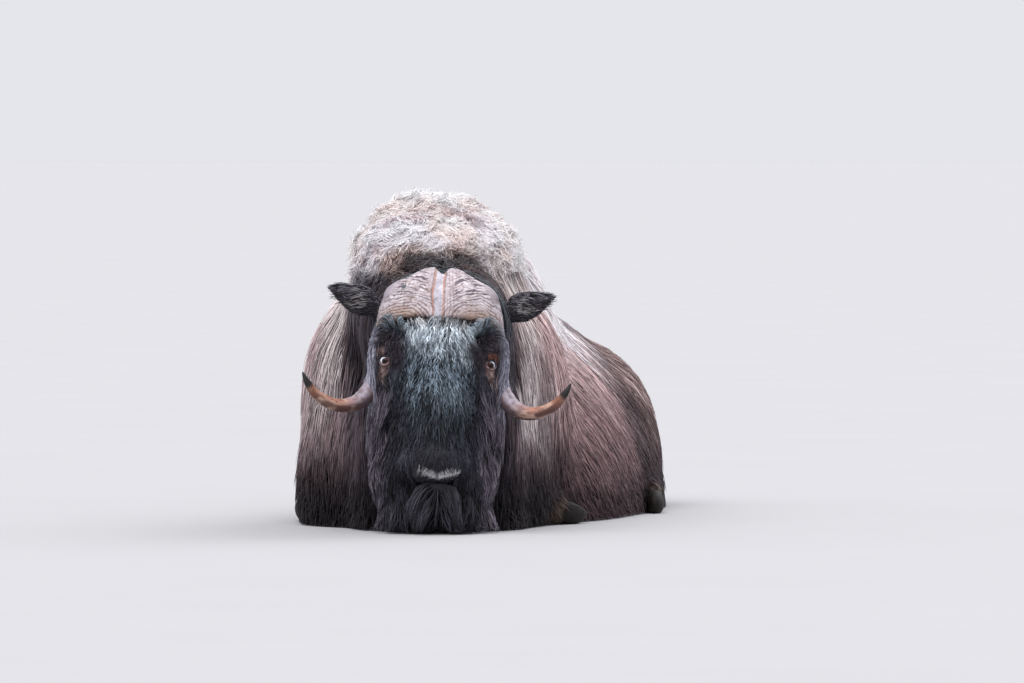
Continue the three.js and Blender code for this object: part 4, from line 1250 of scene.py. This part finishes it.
# Ears: short dark hair outside, pale tufts at the opening, and a painted highlight on the hair that faces up.
def ears():
    roots = scatter(skin_points, skin_faces, ON_EAR.astype(F), 3.9, 241)
    rng = np.random.default_rng(242)
    nrm = gradient(ear_skin, roots)
    h = to_head(roots)
    q = ear_frame(h)
    n, k = len(roots), 4
    outward = np.stack([np.sign(h[:, 0]), 0 * h[:, 0] + 0.30, 0 * h[:, 0]], -1).astype(F) @ AXES
    inside = (q[:, 2] > -2) & (ellipsoid(q, (4, -1, 21), (50, 25, 26)) < 4)
    length = np.where(inside, 10 + 16 * rng.random(n), 7 + 6 * rng.random(n)).astype(F)
    d = outward + 0.30 * noise3(roots, 16, 245) - 0.35 * np.array([0, 0, 1], F)
    d = d - 0.9 * (d * nrm).sum(-1, keepdims=True) * nrm
    d = unit(unit(d) + nrm * np.where(inside, 0.35, 0.10)[:, None].astype(F))
    t = np.linspace(0, 1, k).astype(F)
    paths = roots[:, None] + d[:, None] * (length[:, None] * t)[..., None] + nrm[:, None] * (1.2 * np.sin(t * 3))[None, :, None]
    paths[:, :, 2] -= (length * 0.12)[:, None] * t[None] ** 2
    r = rng.random(n).astype(F)
    c = mix(srgb(26, 22, 27) + 0 * roots, srgb(86, 80, 90), r * r)
    rim = ramp((9 - np.abs(ellipsoid(q, (4, -1, 21), (50, 25, 26)))) / 6)
    c = mix(c, srgb(160, 156, 168), 0.9 * rim * ramp((r - 0.2) / 0.5) * ramp((q[:, 1] + 8) / 12))
    # Painted highlight: hair on the ear's upward-facing side is made pale as if lit from above.
    c = mix(c, srgb(156, 151, 164), 0.85 * ramp((nrm[:, 2] - 0.15) / 0.5) * ramp((r - 0.3) / 0.4) * ~inside)
    c = mix(c, srgb(28, 24, 27), inside * 0.8 * (1 - 0.9 * rim))
    c = mix(c, srgb(176, 170, 172), inside * (q[:, 0] < -2) * (r > 0.5) * 0.8)
    w = profile(n, k, (1.7 * (0.6 + 0.7 * rng.random(n))).astype(F), rng)
    # Root colour painted darker, as shade in the coat.
    obj = tubes("coat_ears", paths.astype(F), w, np.repeat(nrm[:, None], k, 1), c * 0.75, c * 1.1, head_unwrap(roots))
    finish_piece(obj, "ear", n, k)


ears()


# ------------------------------------------------------------------ horns
def horn_form(h):
    """Half of the boss and its beam, on the animal's left, in head coordinates."""
    a, b, c = h[..., 0], h[..., 1], h[..., 2]
    furrow = (3.0 + 15 * ramp((b - 205) / 45)) * np.exp(-((a / 12.0) ** 2)) - 1.6 * np.exp(-(((a - 19) / 7) ** 2))
    crown = 6.0 * np.exp(-(((a - 38) / 26) ** 2)) * ramp((b - 190) / 60)
    dome = boss_form(h) + furrow - crown
    lower = BOSS["bottom"] + 3 + 6 * np.sin(np.clip(a / 112, 0, 1) * math.pi) - 0.25 * np.maximum(a - 110, 0)
    slab = np.maximum(lower - b, BOSS["back"] - c)
    d = meet(dome, slab, 12)
    tube = np.full(a.shape, 1e3, F)
    for p, q in zip(BEAM[:-1], BEAM[1:]):
        tube = join(tube, cone(h, p[:3], p[3], q[:3], q[3]), 2.0)
    d = join(d, tube, 14)
    return meet(d, -0.5 - a, 1.2)


def smooth_beam():
    """The beam's path with more points, so that it bends evenly."""
    from_, out = BEAM, []
    n = len(from_)
    for i in range(n - 1):
        p0, p1, p2, p3 = from_[max(i - 1, 0)], from_[i], from_[i + 1], from_[min(i + 2, n - 1)]
        for t in (0, 0.34, 0.67):
            out.append(0.5 * ((2 * p1) + (p2 - p0) * t + (2 * p0 - 5 * p1 + 4 * p2 - p3) * t**2 + (3 * p1 - p0 - 3 * p2 + p3) * t**3))
    out.append(from_[-1])
    return np.array(out, F)


BEAM = smooth_beam()
_length = np.concatenate([[0], np.cumsum(np.linalg.norm(np.diff(BEAM[:, :3], axis=0), axis=1))])


def beam_along(h):
    """How far along the beam a point lies, 0 at the boss and 1 at the tip, and the offset from the beam's axis."""
    best = np.full(len(h), 1e9, F)
    s = np.zeros(len(h), F)
    off = np.zeros((len(h), 3), F)
    for i in range(len(BEAM) - 1):
        a, b = BEAM[i, :3], BEAM[i + 1, :3]
        d, q = b - a, h - a
        t = np.clip((q @ d) / (d @ d), 0, 1)
        o = q - t[:, None] * d
        dist = np.linalg.norm(o, axis=1)
        near = dist < best
        best = np.where(near, dist, best)
        s = np.where(near, (_length[i] + t * (_length[i + 1] - _length[i])) / _length[-1], s)
        off[near] = o[near]
    return s.astype(F), off, best


def horn_material():
    m, nodes, links, bsdf = material("horn")
    tint = attribute(nodes, "hair_tint")
    pos = attribute(nodes, "grain_vec")
    tex = node(nodes, "ShaderNodeTexNoise", in_Scale=1.0, in_Detail=6.0, in_Roughness=0.62)
    links.new(pos.outputs["Vector"], tex.inputs["Vector"])
    r = ramp_node(nodes, [(0.25, (0.74, 0.71, 0.68)), (0.5, (1.0,) * 3), (0.78, (1.16, 1.15, 1.14))])
    links.new(tex.outputs["Fac"], r.inputs["Fac"])
    mul = node(nodes, "ShaderNodeMix", data_type="RGBA", blend_type="MULTIPLY")
    mul.inputs["Factor"].default_value = 1.0
    links.new(tint.outputs["Color"], mul.inputs[6])
    links.new(r.outputs["Color"], mul.inputs[7])
    # Fine checks in the horn, finer than the ridges of the mesh.
    stretch = node(nodes, "ShaderNodeMapping")
    stretch.inputs["Scale"].default_value = (3.2, 12.0, 6.0)
    links.new(pos.outputs["Vector"], stretch.inputs["Vector"])
    check = node(nodes, "ShaderNodeTexNoise", in_Scale=1.0, in_Detail=3.0, in_Roughness=0.6)
    links.new(stretch.outputs[0], check.inputs["Vector"])
    pr = ramp_node(nodes, [(0.30, (0.52, 0.46, 0.45)), (0.42, (1.0,) * 3)])
    links.new(check.outputs["Fac"], pr.inputs["Fac"])
    rough = attribute(nodes, "ridged")
    pm = node(nodes, "ShaderNodeMix", data_type="RGBA", blend_type="MULTIPLY")
    links.new(rough.outputs["Fac"], pm.inputs["Factor"])
    links.new(mul.outputs[2], pm.inputs[6])
    links.new(pr.outputs["Color"], pm.inputs[7])
    links.new(pm.outputs[2], bsdf.inputs["Base Color"])
    rr = ramp_node(nodes, [(0.0, (0.36,) * 3), (1.0, (0.68,) * 3)])
    links.new(rough.outputs["Fac"], rr.inputs["Fac"])
    links.new(rr.outputs["Color"], bsdf.inputs["Roughness"])
    bump = node(nodes, "ShaderNodeBump", in_Strength=0.5, in_Distance=0.0014)
    add = node(nodes, "ShaderNodeMath", operation="MULTIPLY_ADD")
    links.new(tex.outputs["Fac"], add.inputs[0])
    add.inputs[1].default_value = 0.8
    links.new(pr.outputs["Color"], add.inputs[2])
    links.new(add.outputs[0], bump.inputs["Height"])
    links.new(bump.outputs[0], bsdf.inputs["Normal"])
    bsdf.inputs["Specular IOR Level"].default_value = 0.4
    return m


def horns():
    xs = graded(-4, 352, 3.0, [(0, 166, 1.9)])
    ys = graded(-148, 268, 3.0, [(84, 262, 1.9)])
    zs = graded(-140, 104, 3.3, [(-70, 96, 2.3)])
    p, faces = surface(horn_form, xs, ys, zs)
    n = gradient(horn_form, p, 1.0)
    s, off, dist = beam_along(p)
    a, b, c = p[:, 0], p[:, 1], p[:, 2]
    boss = ramp((12 - boss_form(p)) / 10) * ramp((b - 66) / 26)
    mat = horn_material()
    for side, word in ((1, "left"), (-1, "right")):
        warp = 5 * noise(p, 34, 300 + side) + 2.6 * noise(p, 14, 310 + side) + 1.3 * noise(p, 6, 315 + side)
        wide = 1.25 if side > 0 else 1.36
        arch = np.hypot((a - 100) / wide, b - 82)
        angle = np.arctan2(b - 82, (a - 100) / wide)
        # Growth ridges arch over the root of the beam, strongest by the brow, and are broken into short lengths.
        polar = np.stack([angle * arch / 22, (arch + 0.8 * warp) / 5.0, 0 * a], -1).astype(F)
        broken = 0.25 + 0.75 * ramp((noise(polar, 1.0, 345 + side) + 0.40) / 0.3)
        zone = ramp((116 + 16 * noise(p, 30, 320 + side) - arch) / 40) * boss
        bands = (0.5 + 0.5 * np.cos((arch + warp) / 7.6 * 2 * math.pi)) ** 4 * broken
        # Above them the surface is broken into short checks that follow the same arches.
        polar = np.stack([angle * arch / 13, (arch + warp) / 2.9, 0 * a], -1).astype(F)
        dash = ramp((noise(polar, 1.0, 340 + side) - 0.09) / 0.14) * ramp((arch - 70) / 24) * boss * ramp((a - 26) / 12)
        pits = ramp((noise(p, (5, 3.5, 5), 348 + side) - 0.30) / 0.16) * boss
        # Upright lines beside the furrow.
        upright = ramp((48 - a) / 18) * ramp((a - 13) / 6) * boss * (1.0 if side > 0 else 0.4)
        lines = (0.5 + 0.5 * np.cos((a + 0.5 * warp + 0.0008 * (b - 150) ** 2) / 8.2 * 2 * math.pi)) ** 4
        rough = (noise(p, 10, 330 + side) * 0.8 + noise(p, 4, 332 + side) * 0.35) * boss
        d = -2.1 * bands * zone * (0.7 + 0.3 * noise(p, 20, 350 + side)) - 1.1 * dash - 1.0 * lines * upright - 0.6 * pits + rough
        d = d + 0.4 * np.sin(s * 150 + 2.5 * noise(p, 22, 335)) * (1 - boss) * ramp((0.72 - s) / 0.2)
        at = (17 + 3 * np.sin(b / 21) + 0.3 * warp) if side < 0 else (6.5 + 1.2 * np.sin(b / 17) + 0.3 * warp)
        seam = ramp((at - 3 - a) / 3) * boss
        d = d + seam * (1.0 + 1.2 * noise(p, 7, 352 + side))
        q = p + n * d[:, None]
        tone = noise(p, 42, 360 + side)
        colour = mix(srgb(204, 195, 200) + 0 * p, srgb(174, 162, 168), 0.5 + 0.5 * tone)
        colour = mix(colour, srgb(222, 214, 216), 0.6 * ramp((noise(p, (16, 8, 12), 365 + side) - 0.08) / 0.4))
        colour = mix(colour, srgb(150, 126, 122), 0.5 * ramp((noise(p, (9, 6, 8), 367 + side) - 0.1) / 0.4))
        colour = mix(colour, srgb(150, 122, 104), 0.8 * ramp((72 - arch) / 40) * boss)
        colour = mix(colour, srgb(52, 38, 42), 0.92 * bands * zone)
        colour = mix(colour, srgb(70, 56, 68), 0.9 * dash)
        colour = mix(colour, srgb(112, 94, 100), 0.5 * pits)
        colour = mix(colour, srgb(134, 108, 112), 0.75 * lines * upright)
        colour = mix(colour, mix(srgb(204, 204, 216) + 0 * p, srgb(160, 152, 162), 0.4 + 0.6 * noise(p, 15, 354 + side)), 0.85 * ramp((at - 2 - a) / 2.5) * boss)
        colour = mix(colour, srgb(168, 116, 92), 0.8 * ramp(1.5 - np.abs(a - at) / 1.9) * boss)
        colour = mix(colour, srgb(90, 66, 66), 0.7 * ramp(1.4 - np.abs(a - at - 3.6) / 1.5) * boss)
        # The beam's upper side is painted pale as the sky's reflection, and its underside darker as shade, on the amber
        # tip too.
        under = ramp((-off[:, 1] + 0.35 * off[:, 2] + 3) / 14)
        beam = mix(srgb(146, 136, 148) + 0 * p, srgb(66, 52, 56), 0.9 * under)
        amber = mix(srgb(180, 128, 106) + 0 * p, srgb(84, 52, 42), under)
        amber = mix(amber, srgb(222, 186, 166), 0.5 * ramp(noise(np.stack([s * 26, under * 2, off[:, 2] * 0.1], -1), 1.0, 370 + side) / 0.5))
        beam = mix(beam, amber, ramp((s - 0.56) / 0.2) * 0.92)
        fleck = ramp((noise(np.stack([s * 46, np.arctan2(off[:, 2], off[:, 1]) * 3.2, 0 * s], -1).astype(F), 1.0, 374 + side) - 0.18) / 0.25)
        beam = mix(beam, srgb(86, 56, 50), 0.5 * fleck)
        beam = mix(beam, srgb(120, 76, 58), 0.7 * ramp((s - 0.84) / 0.06))
        beam = mix(beam, srgb(18, 14, 15), ramp((s - 0.905) / 0.03))
        colour = mix(beam, colour, boss)
        stretched = np.stack([a, b, c], -1) * 0.05
        along_grain = np.stack([s * 9, np.arctan2(off[:, 2], off[:, 1]) * 2.4, 0 * s], -1)
        grain = (stretched * boss[:, None] + along_grain * (1 - boss)[:, None] + 5).astype(F)
        f = faces
        if side < 0:
            q = q * np.array([-1, 1, 1], F)
            f = faces[:, ::-1]
        obj = make_mesh("horn_%s_look" % word, world(from_head(q)), f, {"hair_tint": colour.astype(F), "grain_vec": grain, "ridged": boss.astype(F)})
        attach(obj, mat, "horn", "horn_" + word)
    lap("horns: %d points each" % len(p))


horns()


# ------------------------------------------------------------------ eyes
def eyes():
    m, nodes, links, bsdf = material("eye")
    tint = attribute(nodes, "hair_tint")
    tex = node(nodes, "ShaderNodeTexNoise", in_Scale=900.0, in_Detail=3.0)
    co = nodes.new("ShaderNodeTexCoord")
    links.new(co.outputs["Object"], tex.inputs["Vector"])
    r = ramp_node(nodes, [(0.3, (0.75,) * 3), (0.7, (1.2,) * 3)])
    links.new(tex.outputs["Fac"], r.inputs["Fac"])
    mul = node(nodes, "ShaderNodeMix", data_type="RGBA", blend_type="MULTIPLY")
    mul.inputs["Factor"].default_value = 1.0
    links.new(tint.outputs["Color"], mul.inputs[6])
    links.new(r.outputs["Color"], mul.inputs[7])
    links.new(mul.outputs[2], bsdf.inputs["Base Color"])
    bsdf.inputs["Roughness"].default_value = 0.06
    bsdf.inputs["Specular IOR Level"].default_value = 0.22
    for side, word in ((1, "left"), (-1, "right")):
        nu, nv = 96, 60
        points = [[0, 0, 1]]
        for i in range(1, nv):
            th = math.pi * i / nv
            for j in range(nu):
                ph = 2 * math.pi * j / nu
                points.append([math.sin(th) * math.cos(ph), math.sin(th) * math.sin(ph), math.cos(th)])
        points.append([0, 0, -1])
        points = np.array(points, F)
        quads, tris = [], []
        for j in range(nu):
            tris.append([0, 1 + j, 1 + (j + 1) % nu])
            last = 1 + (nv - 2) * nu
            tris.append([len(points) - 1, last + (j + 1) % nu, last + j])
        for i in range(nv - 2):
            for j in range(nu):
                a = 1 + i * nu
                quads.append([a + j, a + nu + j, a + nu + (j + 1) % nu, a + (j + 1) % nu])
        # The iris sits low and towards the nose, so the white shows along the top and the outer corner.
        look = unit(np.array([0.22, -0.17, 0.96], F))
        d = points @ GAZE  # the ball's pole lies along the gaze frame
        angle = np.degrees(np.arccos(np.clip(d @ look, -1, 1)))
        right_ = unit(np.cross([0, 1, 0], look))
        up_ = np.cross(look, right_)
        flat = np.hypot((d @ right_) / 0.25, (d @ up_) / 0.17)
        # The white is painted bluish-white, in part as the sky's reflection on the ball.
        c = mix(srgb(238, 246, 255) + 0 * d, srgb(160, 186, 222), 0.6 * ramp((30 - angle) / 5))
        c = mix(c, srgb(78, 36, 30), ramp((23.5 - angle) / 1.5))
        c = mix(c, srgb(30, 14, 14), ramp((18 - angle) / 6) * 0.8)
        c = mix(c, srgb(8, 6, 8), ramp((24.5 - angle) / 1.5) * ramp((angle - 20.5) / 2))
        c = mix(c, srgb(2, 2, 4), ramp((1.0 - flat) / 0.15))
        radius = 20.6 + 0.9 * ramp((26 - angle) / 12)
        q = d * radius[:, None] + np.asarray(EYE["at"], F)
        f = [np.array(quads), np.array(tris)]
        if side < 0:
            q = q * np.array([-1, 1, 1], F)
            f = [x[:, ::-1] for x in f]
        obj = make_mesh("eye_%s_look" % word, world(from_head(q)), f, {"hair_tint": c.astype(F)})
        attach(obj, m, "eye", "eye_" + word)


eyes()


# ------------------------------------------------------------------ hooves
def hooves():
    m, nodes, links, bsdf = material("hoof")
    co = nodes.new("ShaderNodeTexCoord")
    tex = node(nodes, "ShaderNodeTexNoise", in_Scale=60.0, in_Detail=6.0)
    links.new(co.outputs["Object"], tex.inputs["Vector"])
    rings = node(nodes, "ShaderNodeTexWave", in_Scale=90.0, in_Distortion=1.5, bands_direction="Z")
    links.new(co.outputs["Object"], rings.inputs["Vector"])
    r = ramp_node(nodes, [(0.3, srgb(13, 11, 11)), (0.7, srgb(34, 28, 25))])
    links.new(tex.outputs["Fac"], r.inputs["Fac"])
    links.new(r.outputs["Color"], bsdf.inputs["Base Color"])
    bump = node(nodes, "ShaderNodeBump", in_Strength=0.4, in_Distance=0.001)
    links.new(rings.outputs["Fac"], bump.inputs["Height"])
    links.new(bump.outputs[0], bsdf.inputs["Normal"])
    bsdf.inputs["Roughness"].default_value = 0.6
    bsdf.inputs["Specular IOR Level"].default_value = 0.18
    for foot, place in ((FOREFOOT, "fore"), (HINDFOOT, "hind")):
        for side, word in ((1, "left"), (-1, "right")):
            for inner in (True, False):
                t = math.radians(foot["turn"] * side)
                rot = np.array([[math.cos(t), -math.sin(t), 0], [math.sin(t), math.cos(t), 0], [0, 0, 1]], F)
                off = rot @ np.array([CLAW["spread"] * (-side if inner else side), 0, 0], F)
                at = np.array([foot["at"][0] * side, foot["at"][1], foot["at"][2]], F) + off
                sole = unit(np.array(foot["sole"], F))

                def form(p):
                    q = p @ rot
                    d = ellipsoid(q, (0, 0, 0), CLAW["half"])
                    return np.maximum(meet(d, q @ sole - foot["cut"], 3.5), -(p[..., 2] + at[2]) + 0.2)

                xs = np.arange(-48, 49, 3.6, dtype=F)
                ys = np.arange(-70, 71, 3.6, dtype=F)
                zs = np.arange(-42, 43, 3.6, dtype=F)
                p, f = surface(form, xs, ys, zs)
                name = "claw_%s_%s_%s" % (place, word, "inner" if inner else "outer")
                obj = make_mesh(name + "_look", world(p + at), f)
                attach(obj, m, "claw", name)
    lap("hooves")


hooves()


# ------------------------------------------------------------------ floor, light and camera
def stage():
    s = 150.0
    floor = make_mesh("floor", np.array([[-s, -s, 0], [s, -s, 0], [s, s, 0], [-s, s, 0]], F), np.array([[0, 1, 2, 3]]), smooth=False)
    m, nodes, links, bsdf = material("floor")
    tex = node(nodes, "ShaderNodeTexNoise", in_Scale=1.6, in_Detail=3.0)
    co = nodes.new("ShaderNodeTexCoord")
    links.new(co.outputs["Object"], tex.inputs["Vector"])
    r = ramp_node(nodes, [(0.0, srgb(171, 171, 173)), (1.0, srgb(176, 176, 178))])
    links.new(tex.outputs["Fac"], r.inputs["Fac"])
    links.new(r.outputs["Color"], bsdf.inputs["Base Color"])
    bsdf.inputs["Roughness"].default_value = 0.9
    floor.data.materials.append(m)
    w = bpy.data.worlds.new("studio")
    bpy.context.scene.world = w
    w.use_nodes = True
    w.node_tree.nodes["Background"].inputs[0].default_value = (0.945, 0.95, 1.0, 1)
    w.node_tree.nodes["Background"].inputs[1].default_value = 0.825

    def sun(name, towards, strength, soft, colour):
        light = bpy.data.lights.new(name, "SUN")
        light.energy = strength
        light.angle = math.radians(soft)
        light.color = colour
        obj = bpy.data.objects.new(name, light)
        obj.rotation_euler = (-Vector(towards)).to_track_quat("-Z", "Y").to_euler()
        bpy.context.scene.collection.objects.link(obj)

    sun("sky", (-0.15, -0.60, 1.0), 2.72, 60, (1.0, 0.985, 0.985))
    sun("back", (0.55, 0.9, 0.9), 1.3, 40, (0.94, 0.95, 1.0))
    bpy.context.scene.view_settings.view_transform = "Standard"

    az, el, dist = math.radians(14), math.radians(1.5), 22.0
    fwd = Vector((-math.sin(az) * math.cos(el), math.cos(az) * math.cos(el), -math.sin(el)))
    right_ = Vector((math.cos(az), math.sin(az), 0))
    mid = Vector(((_eye + _eye2) / 2).tolist())
    aim = mid + right_ * 0.185 + Vector((0, 0, 0.055))
    cam = bpy.data.cameras.new("camera")
    cam.sensor_width = 36
    cam.lens = 309.4
    cam.clip_end = 400
    obj = bpy.data.objects.new("camera", cam)
    obj.location = aim - fwd * dist
    obj.rotation_euler = fwd.to_track_quat("-Z", "Y").to_euler()
    bpy.context.scene.collection.objects.link(obj)
    bpy.context.scene.camera = obj


stage()
lap("all made")
